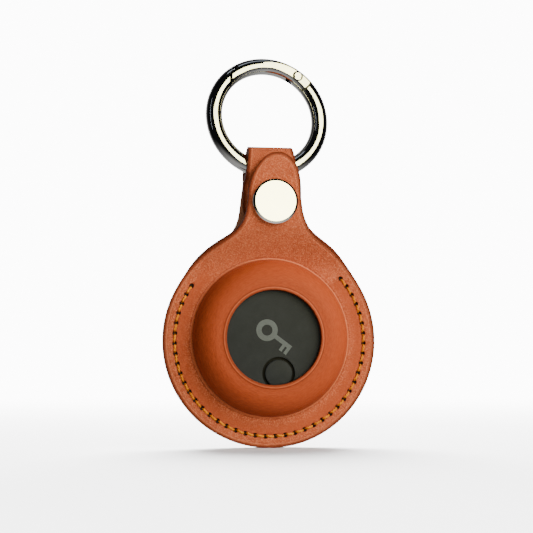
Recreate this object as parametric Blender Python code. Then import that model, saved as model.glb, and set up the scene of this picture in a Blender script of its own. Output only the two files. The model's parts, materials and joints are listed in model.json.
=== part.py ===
"""Leather holder for a round tracker tag, hanging from a spring gate ring.

The origin is the point where the ring hangs, +Z is up and the front faces -Y.
"""
import math

import bmesh
import bpy
from mathutils import Matrix, Vector

MM = 0.001

# Ring: a round wire bent to a circle, its top part a gate on a rivet
RING_OUTER_D = 30.0 * MM
WIRE_D = 3.9 * MM
RING_YAW = math.radians(7.0)
RING_LEAN = math.radians(8.5)
WIRE_R = WIRE_D / 2
RING_R = RING_OUTER_D / 2 - WIRE_R
RING_HOLE_R = RING_R - WIRE_R
WIRE_SIDES = 12
RING_STEP = 7.5

# Gate: its pivot, its rounded end and the stepped nose that stops it
PIVOT_ANGLE = 54.0
GATE_END_R = 3.3 * MM
GATE_GAP = 0.2 * MM
NOSE_SHARES = ((1.6, 121.0), (0.45, 127.0), (-0.1, 139.0), (-1.35, 152.5))
NOSE_LIP_ANGLE = 120.0
NOSE_END_ANGLE = 156.0
LEAF_T = 1.5 * MM
LEAF_REACH = 1.5 * MM
LEAF_CLEARANCE = 0.15 * MM
SLOT_END_R = 2.8 * MM
FLAT_SHARE = 0.83
FLAT_END_ANGLE = 68.0
END_CUT_ANGLE = 80.0

# Rivet through fork and leaf
PIN_D = 1.6 * MM
PIN_HEAD_REACH = 0.3 * MM
PIN_HEAD_D = PIN_D + 2 * PIN_HEAD_REACH
PIN_HEAD_T = 0.22 * MM
PIN_CLEARANCE = 0.06 * MM
PIN_HEAD_SHARES = ((0.7, 1.0), (1.0, 0.5), (1.0, 0.0))

# Gate spring: a coil in a bore behind the slot
SPRING_WIRE_D = 0.32 * MM
SPRING_D = 1.4 * MM
SPRING_L = 3.6 * MM
SPRING_TURNS = 4.5
SPRING_CLEARANCE = 0.15 * MM
SPRING_POINTS = 8

# Leather: one thickness everywhere, two layers with a gap between them
LEATHER_T = 1.3 * MM
LAYER_GAP = 0.2 * MM
BACK_FACE = LAYER_GAP / 2 + LEATHER_T

# Coin cell, which the tag's other sizes are built up from
CELL_D = 20.0 * MM
CELL_T = 3.2 * MM
CELL_GAP = 0.05 * MM
CELL_SHARES = ((0.86, 1.0), (0.88, 0.94), (0.97, 0.88), (1.0, 0.76), (1.0, 0.06), (0.98, 0.0))
PART_GAP = 0.03 * MM

# Battery cover and the O-ring round its skirt
COVER_T = 0.8 * MM
COVER_RECESS = 0.05 * MM
COVER_CLEARANCE = 0.2 * MM
COVER_INSIDE = COVER_RECESS + COVER_T
SKIRT_ROOM = 2.4 * MM
SKIRT_WALL = 0.8 * MM
SKIRT_R = CELL_D / 2 + SKIRT_ROOM + SKIRT_WALL
COIN_SLOT_L = 12.0 * MM
COIN_SLOT_W = 1.8 * MM
COIN_SLOT_DEPTH = 0.35 * MM
SEAL_D = 1.0 * MM
SEAL_GAP = 0.12 * MM
SEAL_ROOM = 0.15 * MM

# Mouth of the tag's casing: a rib that the cover's lugs turn under
MOUTH_ROOM = 0.6 * MM
MOUTH_STEP = 0.1 * MM
SHELL_MOUTH_R = SKIRT_R + SEAL_D + MOUTH_ROOM
RIB_R_DEPTH = 0.8 * MM
RIB_T = 0.45 * MM
RIB_Y = COVER_INSIDE + SEAL_D + SEAL_ROOM
LUG_T = 0.5 * MM
LUG_GAP = 0.2 * MM
LUG_CLEARANCE = 0.3 * MM
LUG_REACH = SHELL_MOUTH_R - SKIRT_R - LUG_CLEARANCE
SKIRT_END = RIB_Y + RIB_T + LUG_GAP + LUG_T
LUG_COUNT = 3
LUG_ANGLE = 24.0
NOTCH_ANGLE = 30.0
NOTCH_RELIEF = 0.25 * MM
TWIST = 35.0

# Contacts, and the board with its chip, switch and buzzer, stacked on the cell
CONTACT_T = 0.2 * MM
CONTACT_L = 9.0 * MM
CONTACT_W = 2.4 * MM
CELL_LOW = COVER_INSIDE + CELL_GAP
CELL_FACE = CELL_LOW + CELL_T
BOARD_LOW = CELL_FACE + CONTACT_T + 2 * PART_GAP
BOARD_T = 0.5 * MM
BOARD_FACE = BOARD_LOW + BOARD_T
BOARD_CLEARANCE = 1.2 * MM
BOARD_R = SHELL_MOUTH_R - BOARD_CLEARANCE
CLIP_T = 0.25 * MM
CLIP_H = 2.6 * MM
CLIP_ANGLE = 100.0
CHIP_W = 5.0 * MM
CHIP_T = 0.6 * MM
CHIP_X = 4.0 * MM
CHIP_Z = 1.5 * MM
BUZZER_D = 10.0 * MM
BUZZER_T = 0.28 * MM
BUZZER_X = -3.3 * MM
BUZZER_Z = 5.5 * MM
SWITCH_D = 4.4 * MM
SWITCH_H = 0.55 * MM
SWITCH_GAP = 0.06 * MM
SWITCH_SHARES = ((0.5, 1.0), (0.85, 0.5), (1.0, 0.2), (1.0, 0.0))
SWITCH_TOP = BOARD_FACE + PART_GAP + SWITCH_H

# Tag casing: a round puck with a big front radius, closed over the button's flange
SHELL_WALL = 1.1 * MM
SHELL_FRONT_T = 0.75 * MM
SHELL_BACK_BEVEL = 0.6 * MM
BUTTON_TRAVEL = 0.3 * MM
BUTTON_FLANGE_T = 0.22 * MM
BUTTON_BACK = SWITCH_TOP + SWITCH_GAP + BUTTON_TRAVEL
SHELL_CEILING = BUTTON_BACK + BUTTON_FLANGE_T + PART_GAP
TAG_T = SHELL_CEILING + SHELL_FRONT_T
TAG_R = SHELL_MOUTH_R + MOUTH_STEP + SHELL_WALL
TAG_EDGE_R = 3.5 * MM
TAG_EDGE_DEPTH = 3.9 * MM
TAG_FLAT_R = TAG_R - TAG_EDGE_R
TAG_TURN = math.radians(-8.5)
TAG_CLEARANCE = 0.25 * MM
TAG_BACK_Y = LAYER_GAP / 2 - TAG_CLEARANCE

# Push button, as low in the casing's flat front as its flange fits
BUTTON_D = 6.6 * MM
BUTTON_GROOVE = 0.45 * MM
BUTTON_FLANGE_REACH = 0.4 * MM
BUTTON_MARGIN = 0.05 * MM
BUTTON_FLANGE_R = BUTTON_D / 2 + BUTTON_GROOVE + BUTTON_FLANGE_REACH
BUTTON_Z = TAG_FLAT_R - BUTTON_FLANGE_R - BUTTON_MARGIN

# Dome: the front leather pressed over the tag, with a round window
DOME_Z = 0.5 * MM
DOME_SPREAD = 2.1 * MM
DOME_R = TAG_R + DOME_SPREAD
DOME_ARC = math.radians(68.0)
RIM_DEPTH = TAG_T - TAG_BACK_Y + TAG_CLEARANCE + LEATHER_T
WINDOW_LIP = 1.6 * MM
WINDOW_R = TAG_FLAT_R - WINDOW_LIP
FOOT_W = 1.6 * MM
FOOT_SHARES = (0.5, 1.0)

# Round panels round the dome, with a neck that narrows into the strap
FLANGE_W = 6.9 * MM
PANEL_R = DOME_R + FLANGE_W
SHOULDER_ANGLE = 0.5
SHOULDER_HANDLE_SHARE = 0.61
NECK_HANDLE_SHARE = 0.38
NECK_W = 14.0 * MM
NECK_RISE = 5.6 * MM
NECK_Z = PANEL_R + NECK_RISE
STRAP_W = 10.2 * MM
STRAP_L = 15.1 * MM
STRAP_TOP_Z = NECK_Z + STRAP_L
POLE_SHARE = 0.97

# Snap fastener: the stud's parts, and the socket's parts round them
SNAP_RISE = 1.4 * MM
SNAP_Z = NECK_Z + SNAP_RISE
SNAP_SEAT = 0.03 * MM
RIVET_CLEARANCE = 0.12 * MM
CAP_D = 10.6 * MM
CAP_T = 1.5 * MM
BARREL_D = 2.4 * MM
POST_D = 2.6 * MM
POST_HEAD_D = 6.6 * MM
POST_HEAD_T = 0.65 * MM
STUD_BASE_D = 6.8 * MM
STUD_BASE_T = 0.45 * MM
STUD_BALL_D = 4.0 * MM
STUD_NECK_DEPTH = 0.25 * MM
CLIP_WIRE_D = 0.3 * MM
CLIP_START = 100.0
CLIP_END = 440.0
BALL_PLAY = 0.5 * MM
GROOVE_DEPTH = 0.25 * MM
SOCKET_BORE_R = STUD_BALL_D / 2 + BALL_PLAY
SOCKET_WALL = 1.1 * MM
SOCKET_R = SOCKET_BORE_R + SOCKET_WALL
SOCKET_FLANGE_W = 0.7 * MM
SOCKET_FLANGE_T = 0.43 * MM
SOCKET_H = 2.8 * MM
SOCKET_ROOF_T = 0.9 * MM
SOCKET_LIFT = 1.0 * MM
SNAP_GAP = SOCKET_H + SOCKET_LIFT
STUD_GAP = 0.4 * MM
STUD_H = SNAP_GAP - SOCKET_ROOF_T - STUD_GAP
CAP_SHARES = ((0.82, 0.96), (0.93, 0.86), (0.985, 0.68), (1.0, 0.45), (0.985, 0.2), (0.93, 0.0))
POST_TIP_SHARE = 0.45
POST_HEAD_SHARES = ((1.0, 0.0), (1.0, 0.35), (0.8, 0.85), (0.0, 1.0))
STUD_TOP_SHARES = ((0.7, 1.0), (0.95, 0.88), (1.0, 0.7))
STUD_NECK_SHARE = 0.4

# Strap fold: a round loop about the ring's lowest part, its legs clear of the rivet
LOOP_CLEARANCE = 0.25 * MM
LOOP_WIDTH_SHARE = 0.36
LOOP_HALF_W = (STRAP_W + (NECK_W - STRAP_W) * LOOP_WIDTH_SHARE) / 2
LEG_HANDLE_SHARE = 0.5
LEG_CLEARANCE = 0.1 * MM
LEG_START_Z = SNAP_Z + max(STUD_BASE_D, POST_HEAD_D) / 2 + LEG_CLEARANCE

# Front leather's upper part, which rises over the strap and the snap
RISE_START_DROP = 10.0 * MM
RISE_END_DROP = 2.1 * MM
RISE_START_Z = PANEL_R - RISE_START_DROP
RISE_END_Z = NECK_Z - RISE_END_DROP
RISE = SNAP_GAP + LEATHER_T
FLEX_DROP = 3.5 * MM
FLEX_Z = PANEL_R - FLEX_DROP
FLEX_GAP = 0.3 * MM
TONGUE_INSET = 0.5 * MM
TONGUE_TAPER_RISE = 1.0 * MM
TONGUE_TAPER_Z = SNAP_Z + TONGUE_TAPER_RISE
TONGUE_TIP_DROP = 0.9 * MM
TONGUE_TIP_Z = STRAP_TOP_Z - TONGUE_TIP_DROP
TONGUE_TIP_SHARE = 1.9

# Seam
STITCH_INSET = 2.7 * MM
STITCH_R = PANEL_R - STITCH_INSET
STITCH_START = 41.0
STITCH_END = -217.0
STITCH_PITCH = 2.4 * MM
THREAD_D = 0.55 * MM
HOLE_PLAY = 0.6 * MM
HOLE_D = THREAD_D + HOLE_PLAY
THREAD_DIP = 0.6 * MM
THREAD_LIFT = 0.06 * MM
SEAM_GROOVE_PLAY = 0.1 * MM
SEAM_GROOVE_W = THREAD_D + 2 * SEAM_GROOVE_PLAY
SEAM_GROOVE_DEPTH = THREAD_D + 2 * THREAD_LIFT
STITCH_SHARES = ((0.0, 0.0), (0.17, 1.0), (0.83, 1.0))

OVERRUN = 1.0 * MM
SHORT_OVERRUN = 0.2 * MM

# Sides of turned pieces and of the seam's groove
GROOVE_SIDES = 48
BIG_SIDES = 40
MIDDLE_SIDES = 32
SMALL_SIDES = 22

COLOURS = {
    "leather": ((0.53, 0.15, 0.06), 0.55, 0.0),
    "thread": ((0.72, 0.33, 0.07), 0.7, 0.0),
    "gunmetal": ((0.42, 0.42, 0.41), 0.15, 1.0),
    "nickel": ((0.85, 0.83, 0.78), 0.12, 1.0),
    "spring_steel": ((0.6, 0.6, 0.6), 0.3, 1.0),
    "tag_plastic": ((0.035, 0.037, 0.034), 0.5, 0.0),
    "rubber": ((0.02, 0.02, 0.02), 0.8, 0.0),
    "circuit_green": ((0.03, 0.2, 0.08), 0.5, 0.0),
    "chip_black": ((0.02, 0.02, 0.022), 0.4, 0.0),
    "brass": ((0.75, 0.56, 0.25), 0.3, 1.0),
}


def clear_scene():
    for obj in list(bpy.data.objects):
        bpy.data.objects.remove(obj, do_unlink=True)


def finish_material(slot):
    """Return the material of one finish, made the first time it is asked for."""
    found = bpy.data.materials.get(slot)
    if found:
        return found
    colour, roughness, metallic = COLOURS[slot]
    made = bpy.data.materials.new(slot)
    made.use_nodes = True
    shader = made.node_tree.nodes["Principled BSDF"]
    shader.inputs["Base Color"].default_value = (*colour, 1.0)
    shader.inputs["Roughness"].default_value = roughness
    shader.inputs["Metallic"].default_value = metallic
    made.diffuse_color = (*colour, 1.0)
    return made


def empty(name, parent, location, rotation=None):
    frame = bpy.data.objects.new(name, None)
    bpy.context.collection.objects.link(frame)
    frame.parent = parent
    frame.location = location
    if rotation:
        frame.rotation_euler = rotation.to_euler()
    return frame


def add(name, data, parent, slot, location=(0, 0, 0)):
    """Put a mesh or curve into the scene as one named sub-part."""
    obj = bpy.data.objects.new(name, data)
    bpy.context.collection.objects.link(obj)
    obj.parent = parent
    obj.location = location
    data.materials.append(finish_material(slot))
    return obj


def to_mesh(name, bm, sharp_degrees=35.0):
    bmesh.ops.recalc_face_normals(bm, faces=bm.faces)
    mesh = bpy.data.meshes.new(name)
    bm.to_mesh(mesh)
    bm.free()
    mesh.shade_smooth()
    mesh.set_sharp_from_angle(angle=math.radians(sharp_degrees))
    return mesh


def cut(obj, bm, name, operation="DIFFERENCE"):
    """Cut a closed shape, in the object's own coordinates, out of the object, or join it."""
    tool = bpy.data.objects.new(name, to_mesh(name, bm))
    bpy.context.collection.objects.link(tool)
    tool.parent = obj
    tool.hide_render = True
    tool.display_type = "WIRE"
    modifier = obj.modifiers.new(name, "BOOLEAN")
    modifier.object = tool
    modifier.operation = operation
    modifier.solver = "EXACT"


def join(obj, bm, name):
    """Grow the object by a closed shape that overlaps it."""
    cut(obj, bm, name, "UNION")


def prism(outline, low_y, high_y, bm=None):
    """Extrude an outline in the XZ plane from low_y to high_y."""
    bm = bm or bmesh.new()
    near = [bm.verts.new((x, low_y, z)) for x, z in outline]
    far = [bm.verts.new((x, high_y, z)) for x, z in outline]
    bm.faces.new(near)
    bm.faces.new(far)
    for i, vert in enumerate(near):
        j = (i + 1) % len(near)
        bm.faces.new((vert, near[j], far[j], far[i]))
    return bm


def arc(centre, radius, start, end, count):
    """Points on an arc in the XZ plane, angles in radians, counted from +X to +Z."""
    cx, cz = centre
    angles = [start + (end - start) * i / (count - 1) for i in range(count)]
    return [(cx + radius * math.cos(a), cz + radius * math.sin(a)) for a in angles]


def disc(centre, radius, count, shift=0.0):
    """A round outline; a shift of 0.5 turns it by half a side."""
    side = 2 * math.pi / count
    return arc(centre, radius, side * shift, side * (count - 1 + shift), count)


def hole(centre, radius, count):
    """A round outline with no corner on the X or Z axis through its middle."""
    return disc(centre, radius, count, 0.5)


def placed(shares, width, base, height):
    """Turn shares of a width and of a height over a base into lengths."""
    return [(width * across, base + height * up) for across, up in shares]


def lathe(profile, segments):
    """Turn a closed profile of (radius, depth) about Y; depth runs towards the front."""
    bm = bmesh.new()
    rings = []
    for radius, depth in profile:
        if radius == 0:
            rings.append([bm.verts.new((0, -depth, 0))])
        else:
            points = disc((0, 0), radius, segments)
            rings.append([bm.verts.new((x, -depth, z)) for x, z in points])
    for ring, following in zip(rings, rings[1:] + rings[:1]):
        join_rings(bm, ring, following, segments)
    return bm


def join_rings(bm, ring, following, segments):
    """Bridge two rings, where either one may be a single point on the axis."""
    if len(ring) == 1 and len(following) == 1:
        return
    for i in range(segments):
        j = (i + 1) % segments
        if len(ring) == 1:
            bm.faces.new((ring[0], following[i], following[j]))
        elif len(following) == 1:
            bm.faces.new((ring[j], ring[i], following[0]))
        else:
            bm.faces.new((ring[i], ring[j], following[j], following[i]))


def wire_path(name, points, diameter, resolution, closed=False):
    """A round tube along points, with filled ends."""
    curve = bpy.data.curves.new(name, "CURVE")
    curve.dimensions = "3D"
    curve.bevel_depth = diameter / 2
    curve.bevel_resolution = resolution
    curve.use_fill_caps = not closed
    spline = curve.splines.new("POLY")
    spline.points.add(len(points) - 1)
    for point, place in zip(spline.points, points):
        point.co = (*place, 1.0)
    spline.use_cyclic_u = closed
    return curve


def smooth_step(value):
    value = min(max(value, 0.0), 1.0)
    return value * value * (3 - 2 * value)


def polar(radius, degrees):
    angle = math.radians(degrees)
    return radius * math.cos(angle), radius * math.sin(angle)


# Ring and gate

def ring_sector(start, end):
    """The round wire from one angle to another, with flat ends."""
    bm = bmesh.new()
    steps = max(2, round((end - start) / RING_STEP))
    loops = []
    for i in range(steps + 1):
        angle = math.radians(start + (end - start) * i / steps)
        loop = []
        for side in range(WIRE_SIDES):
            turn = 2 * math.pi * (side + 0.5) / WIRE_SIDES
            reach = RING_R + WIRE_R * math.cos(turn)
            place = (reach * math.cos(angle), WIRE_R * math.sin(turn), reach * math.sin(angle))
            loop.append(bm.verts.new(place))
        loops.append(loop)
    for loop, following in zip(loops, loops[1:]):
        join_rings(bm, loop, following, WIRE_SIDES)
    bm.faces.new(loops[0])
    bm.faces.new(loops[-1])
    return bm


def nose_line(gap):
    """The stepped line between gate and ring, moved towards the gate by a gap."""
    turn = math.degrees(gap / RING_R)
    return [polar(RING_R + share * WIRE_R - gap, angle - turn) for share, angle in NOSE_SHARES]


def nose_cutter(gap, far_angle):
    """All of the wire on one side of the nose line, out to a far angle."""
    reach = 2 * WIRE_R
    outline = nose_line(gap)
    outline.append(polar(RING_R - reach, NOSE_SHARES[-1][1]))
    outline.append(polar(RING_R - reach, far_angle))
    outline.append(polar(RING_R + reach, far_angle))
    return prism(outline, -reach, reach)


PIVOT = polar(RING_R, PIVOT_ANGLE)
AWAY = math.radians(PIVOT_ANGLE - 90.0)


def build_ring_body(frame):
    leaf_end = PIVOT_ANGLE + math.degrees(LEAF_REACH / RING_R)
    obj = add("ring_body", to_mesh("ring_body", ring_sector(NOSE_LIP_ANGLE - 360.0, leaf_end)),
              frame, "gunmetal", (0, 0, -RING_HOLE_R))
    cut(obj, nose_cutter(0.0, PIVOT_ANGLE + 2 * (NOSE_LIP_ANGLE - PIVOT_ANGLE) / 3), "nose_cut")
    cheek = hole(PIVOT, GATE_END_R + GATE_GAP, MIDDLE_SIDES)
    cut(obj, prism(cheek, LEAF_T / 2, WIRE_D), "back_cheek_cut")
    cut(obj, prism(cheek, -WIRE_D, -LEAF_T / 2), "front_cheek_cut")
    cut(obj, prism(hole(PIVOT, PIN_D / 2 + PIN_CLEARANCE, 16), -LEAF_T, LEAF_T), "leaf_bore")
    return obj


def build_gate(frame):
    """The gate, drawn about the ring's centre and hung on an empty at its pivot."""
    px, pz = PIVOT
    pivot = empty("gate_axis", frame, (px, 0, pz - RING_HOLE_R))
    start = PIVOT_ANGLE - math.degrees((GATE_END_R + WIRE_R) / RING_R)
    obj = add("ring_gate", to_mesh("ring_gate", ring_sector(start, NOSE_END_ANGLE)),
              pivot, "gunmetal", (-px, 0, -pz))
    cut(obj, nose_cutter(GATE_GAP, NOSE_END_ANGLE + RING_STEP), "gate_nose_cut")
    cut(obj, end_cutter(), "gate_end_cut")
    cut(obj, slot_cutter(), "leaf_slot")
    for side in (-1, 1):
        near = side * FLAT_SHARE * WIRE_R
        far = side * WIRE_D
        cut(obj, prism(flat_outline(), min(near, far), max(near, far)), "cheek_flat")
    cut(obj, prism(hole(PIVOT, PIN_D / 2 + PIN_CLEARANCE, 16), -WIRE_D, WIRE_D), "pin_bore")
    cut(obj, spring_bore(), "spring_bore")
    return obj


def end_cutter():
    """What lies past the gate's rounded end, on the side of the ring's wire."""
    wide = math.radians(END_CUT_ANGLE)
    outline = arc(PIVOT, GATE_END_R, AWAY - wide, AWAY + wide, 17)
    outline += arc(PIVOT, GATE_END_R + WIRE_D, AWAY + wide, AWAY - wide, 5)
    return prism(outline, -WIRE_D, WIRE_D)


def slot_cutter():
    """The fork's slot: round about the pivot and open towards the leaf."""
    quarter = math.pi / 2
    outline = arc(PIVOT, SLOT_END_R, AWAY + quarter, AWAY + 3 * quarter, 13)
    reach = GATE_END_R + WIRE_R
    along = (reach * math.cos(AWAY), reach * math.sin(AWAY))
    for x, z in (outline[-1], outline[0]):
        outline.append((x + along[0], z + along[1]))
    half = LEAF_T / 2 + LEAF_CLEARANCE
    return prism(outline, -half, half)


def flat_outline():
    """The gate's stretch that is ground flat about the rivet."""
    reach = 2 * WIRE_R
    past_end = PIVOT_ANGLE - 2 * (FLAT_END_ANGLE - PIVOT_ANGLE)
    inner = [polar(RING_R - reach, angle) for angle in (FLAT_END_ANGLE, past_end)]
    outer = [polar(RING_R + reach, angle) for angle in (past_end, FLAT_END_ANGLE)]
    return inner + outer


def spring_frame():
    """Matrix with +Z along the bore, from the leaf's end into the gate."""
    px, pz = PIVOT
    along = Vector((-math.cos(AWAY), 0, -math.sin(AWAY)))
    side = Vector((0, 1, 0))
    start = Vector((px, 0, pz)) + along * (LEAF_REACH + LEAF_CLEARANCE)
    matrix = Matrix((side.cross(along), side, along)).transposed().to_4x4()
    matrix.translation = start
    return matrix


def spring_bore():
    bm = bmesh.new()
    depth = SPRING_L + SPRING_CLEARANCE
    radius = SPRING_D / 2 + SPRING_CLEARANCE
    middle = spring_frame() @ Matrix.Translation((0, 0, depth / 2))
    bmesh.ops.create_cone(bm, cap_ends=True, segments=12, radius1=radius, radius2=radius,
                          depth=depth, matrix=middle)
    return bm


def build_gate_spring(frame):
    matrix = spring_frame()
    mean = (SPRING_D - SPRING_WIRE_D) / 2
    length = SPRING_L - SPRING_WIRE_D
    count = round(SPRING_TURNS * SPRING_POINTS)
    points = []
    for i in range(count + 1):
        turn = 2 * math.pi * SPRING_TURNS * i / count
        rise = SPRING_WIRE_D / 2 + length * i / count
        points.append(matrix @ Vector((mean * math.cos(turn), mean * math.sin(turn), rise)))
    curve = wire_path("gate_spring", points, SPRING_WIRE_D, 0)
    return add("gate_spring", curve, frame, "spring_steel", (0, 0, -RING_HOLE_R))


def build_pivot_pin(frame):
    px, pz = PIVOT
    face = FLAT_SHARE * WIRE_R + PIN_CLEARANCE
    shaft = PIN_D / 2
    top = face + PIN_HEAD_T
    head = placed(PIN_HEAD_SHARES, PIN_HEAD_D / 2, face, PIN_HEAD_T)
    tail = [(radius, -depth) for radius, depth in reversed(head)]
    profile = [(0, top)] + head + [(shaft, face), (shaft, -face)] + tail + [(0, -top)]
    return add("gate_pivot_pin", to_mesh("gate_pivot_pin", lathe(profile, 16)), frame,
               "gunmetal", (px, 0, pz - RING_HOLE_R))


# Outline of the leather

def shoulder_point(t):
    """The concave shoulder, a cubic curve from the round panel to the neck."""
    start = Vector((PANEL_R * math.cos(SHOULDER_ANGLE), PANEL_R * math.sin(SHOULDER_ANGLE)))
    leave = Vector((-math.sin(SHOULDER_ANGLE), math.cos(SHOULDER_ANGLE)))
    end = Vector((NECK_W / 2, NECK_Z))
    taper = Vector(((STRAP_W - NECK_W) / 2, STRAP_TOP_Z - NECK_Z)).normalized()
    first = start + leave * SHOULDER_HANDLE_SHARE * PANEL_R
    second = end - taper * NECK_HANDLE_SHARE * PANEL_R
    u = 1 - t
    return start * u ** 3 + first * 3 * u * u * t + second * 3 * u * t * t + end * t ** 3


def half_width(z):
    """Half the leather's width at a height above the panel's centre."""
    if z <= PANEL_R * math.sin(SHOULDER_ANGLE):
        return math.sqrt(max(PANEL_R ** 2 - z ** 2, 0.0))
    if z >= NECK_Z:
        taper = (z - NECK_Z) / (STRAP_TOP_Z - NECK_Z)
        return (NECK_W + (STRAP_W - NECK_W) * min(taper, 1.0)) / 2
    low, high = 0.0, 1.0
    for _ in range(30):
        middle = (low + high) / 2
        if shoulder_point(middle).y < z:
            low = middle
        else:
            high = middle
    return shoulder_point(low).x


def strip(stations):
    """A leather strip: stations are (y, z, half width) along its middle surface."""
    bm = bmesh.new()
    loops = []
    last = len(stations) - 1
    for i, (y, z, half) in enumerate(stations):
        before = stations[max(i - 1, 0)]
        after = stations[min(i + 1, last)]
        along = Vector((after[0] - before[0], after[1] - before[1])).normalized()
        across = Vector((along.y, -along.x)) * LEATHER_T / 2
        corners = ((-half, 1), (half, 1), (half, -1), (-half, -1))
        loops.append([bm.verts.new((x, y + s * across.x, z + s * across.y)) for x, s in corners])
    for loop, following in zip(loops, loops[1:]):
        join_rings(bm, loop, following, 4)
    bm.faces.new(loops[0])
    bm.faces.new(loops[-1])
    return bm


# Strap loop, worked out from the ring's wire and how far it curves across the strap

def loop_sizes():
    """Height of the loop's axis over the wire's lowest middle, and the loop's inner radius."""
    sag = RING_R - math.sqrt(RING_R ** 2 - LOOP_HALF_W ** 2)
    side = LOOP_HALF_W * math.sin(RING_YAW)
    lift = (side ** 2 + sag ** 2) / (2 * sag)
    wire = WIRE_R * RING_R / math.sqrt(RING_R ** 2 - LOOP_HALF_W ** 2)
    return lift, lift + wire + LOOP_CLEARANCE


LOOP_LIFT, LOOP_R = loop_sizes()
LOOP_Z = STRAP_TOP_Z - LOOP_R - LEATHER_T
LOOP_MIDDLE_R = LOOP_R + LEATHER_T / 2
LAYER_MIDDLE = (LAYER_GAP + LEATHER_T) / 2


def leg_points(count):
    """Middle line of one leg of the loop, from the flat strap out to the fold."""
    start = Vector((LAYER_MIDDLE, LEG_START_Z))
    end = Vector((LOOP_MIDDLE_R, LOOP_Z))
    handle = Vector((0, (LOOP_Z - LEG_START_Z) * LEG_HANDLE_SHARE))
    points = []
    for i in range(count + 1):
        t = i / count
        u = 1 - t
        curve = start * u ** 3 + (start + handle) * 3 * u * u * t
        points.append(curve + (end - handle) * 3 * u * t * t + end * t ** 3)
    return points


def back_stations():
    """The whole back leather, up the back, over the ring and down to the tab's end."""
    stations = []
    steps = 22
    pole = math.pi / 2 * POLE_SHARE
    for i in range(steps + 1):
        angle = -pole + (SHOULDER_ANGLE + pole) * i / steps
        z = PANEL_R * math.sin(angle)
        stations.append((LAYER_MIDDLE, z, PANEL_R * math.cos(angle)))
    for i in range(1, 11):
        point = shoulder_point(i / 10)
        stations.append((LAYER_MIDDLE, point.y, point.x))
    leg = leg_points(8)
    stations += [(p.x, p.y, half_width(p.y)) for p in leg]
    for i in range(1, 12):
        angle = math.pi * i / 12
        z = LOOP_Z + LOOP_MIDDLE_R * math.sin(angle)
        stations.append((LOOP_MIDDLE_R * math.cos(angle), z, half_width(z)))
    stations += [(-p.x, p.y, half_width(p.y)) for p in reversed(leg)]
    stations.append((-LAYER_MIDDLE, SNAP_Z, tab_half_width(SNAP_Z)))
    for i in range(1, 7):
        z = SNAP_Z - tab_half_width(SNAP_Z) * math.sin(pole * i / 6)
        stations.append((-LAYER_MIDDLE, z, tab_half_width(z)))
    return stations


def tab_half_width(z):
    """The tab narrows to a half round end about the snap."""
    radius = half_width(SNAP_Z) - TONGUE_INSET
    below = min(max(SNAP_Z - z, 0.0), radius)
    return math.sqrt(radius ** 2 - below ** 2)


def build_back_panel(frame):
    obj = add("back_panel", to_mesh("back_panel", strip(back_stations())), frame, "leather")
    bore = hole((0, SNAP_Z), POST_D / 2 + RIVET_CLEARANCE, 20)
    cut(obj, prism(bore, -BACK_FACE - OVERRUN, BACK_FACE + OVERRUN), "post_hole")
    cut(obj, stitch_holes(0.0, BACK_FACE + OVERRUN), "back_stitch_holes")
    cut(obj, seam_groove(), "seam_groove")
    return obj


# Front leather

def rise(z):
    """How far the front leather has risen off the back one at a height."""
    return RISE * smooth_step((z - RISE_START_Z) / (RISE_END_Z - RISE_START_Z))


def rise_slope(z):
    share = min(max((z - RISE_START_Z) / (RISE_END_Z - RISE_START_Z), 0.0), 1.0)
    return RISE * 6 * share * (1 - share) / (RISE_END_Z - RISE_START_Z)


def dome_profile():
    """Front surface of the dome as (radius, depth), from the window's edge to the flange."""
    wide = DOME_R - TAG_FLAT_R
    high = RIM_DEPTH - BACK_FACE
    profile = [(WINDOW_R, RIM_DEPTH)]
    for i in range(6):
        angle = DOME_ARC * i / 5
        profile.append((TAG_FLAT_R + wide * math.sin(angle), BACK_FACE + high * math.cos(angle)))
    foot_r, foot_depth = profile[-1]
    corner = foot_r + (foot_depth - BACK_FACE) * wide / high / math.tan(DOME_ARC)
    for t in FOOT_SHARES:
        u = 1 - t
        radius = foot_r * u * u + corner * 2 * u * t + (corner + FOOT_W) * t * t
        profile.append((radius, BACK_FACE + (foot_depth - BACK_FACE) * u * u))
    return profile


def front_outline():
    """Points round the front panel, from the cut line's right end and clockwise."""
    top = FLEX_Z - FLEX_GAP / 2
    shoulder_z = PANEL_R * math.sin(SHOULDER_ANGLE)
    right = []
    for i in range(5):
        z = top + (shoulder_z - top) * i / 5
        right.append((half_width(z), z))
    left = [(-x, z) for x, z in reversed(right)]
    round_part = arc((0, 0), PANEL_R, SHOULDER_ANGLE, -math.pi - SHOULDER_ANGLE, 43)
    edge = half_width(top)
    cut_line = [(-edge + 2 * edge * i / 9, top) for i in range(1, 9)]
    return right + round_part + left + cut_line


def front_surface():
    """Front face of the front panel, a grid of columns from the window to the outline."""
    bm = bmesh.new()
    profile = dome_profile()
    foot_r = profile[-1][0]
    columns = []
    for x, z in front_outline():
        reach = math.hypot(x, z - DOME_Z)
        ux, uz = x / reach, (z - DOME_Z) / reach
        places = profile + [((foot_r + reach) / 2, BACK_FACE), (reach, BACK_FACE)]
        column = []
        for radius, depth in places:
            height = DOME_Z + radius * uz
            low = 1 - (depth - BACK_FACE) / (RIM_DEPTH - BACK_FACE)
            column.append(bm.verts.new((radius * ux, -depth - rise(height) * low, height)))
        columns.append(column)
    for column, following in zip(columns, columns[1:] + columns[:1]):
        for i in range(len(column) - 1):
            bm.faces.new((column[i], column[i + 1], following[i + 1], following[i]))
    return bm


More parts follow.
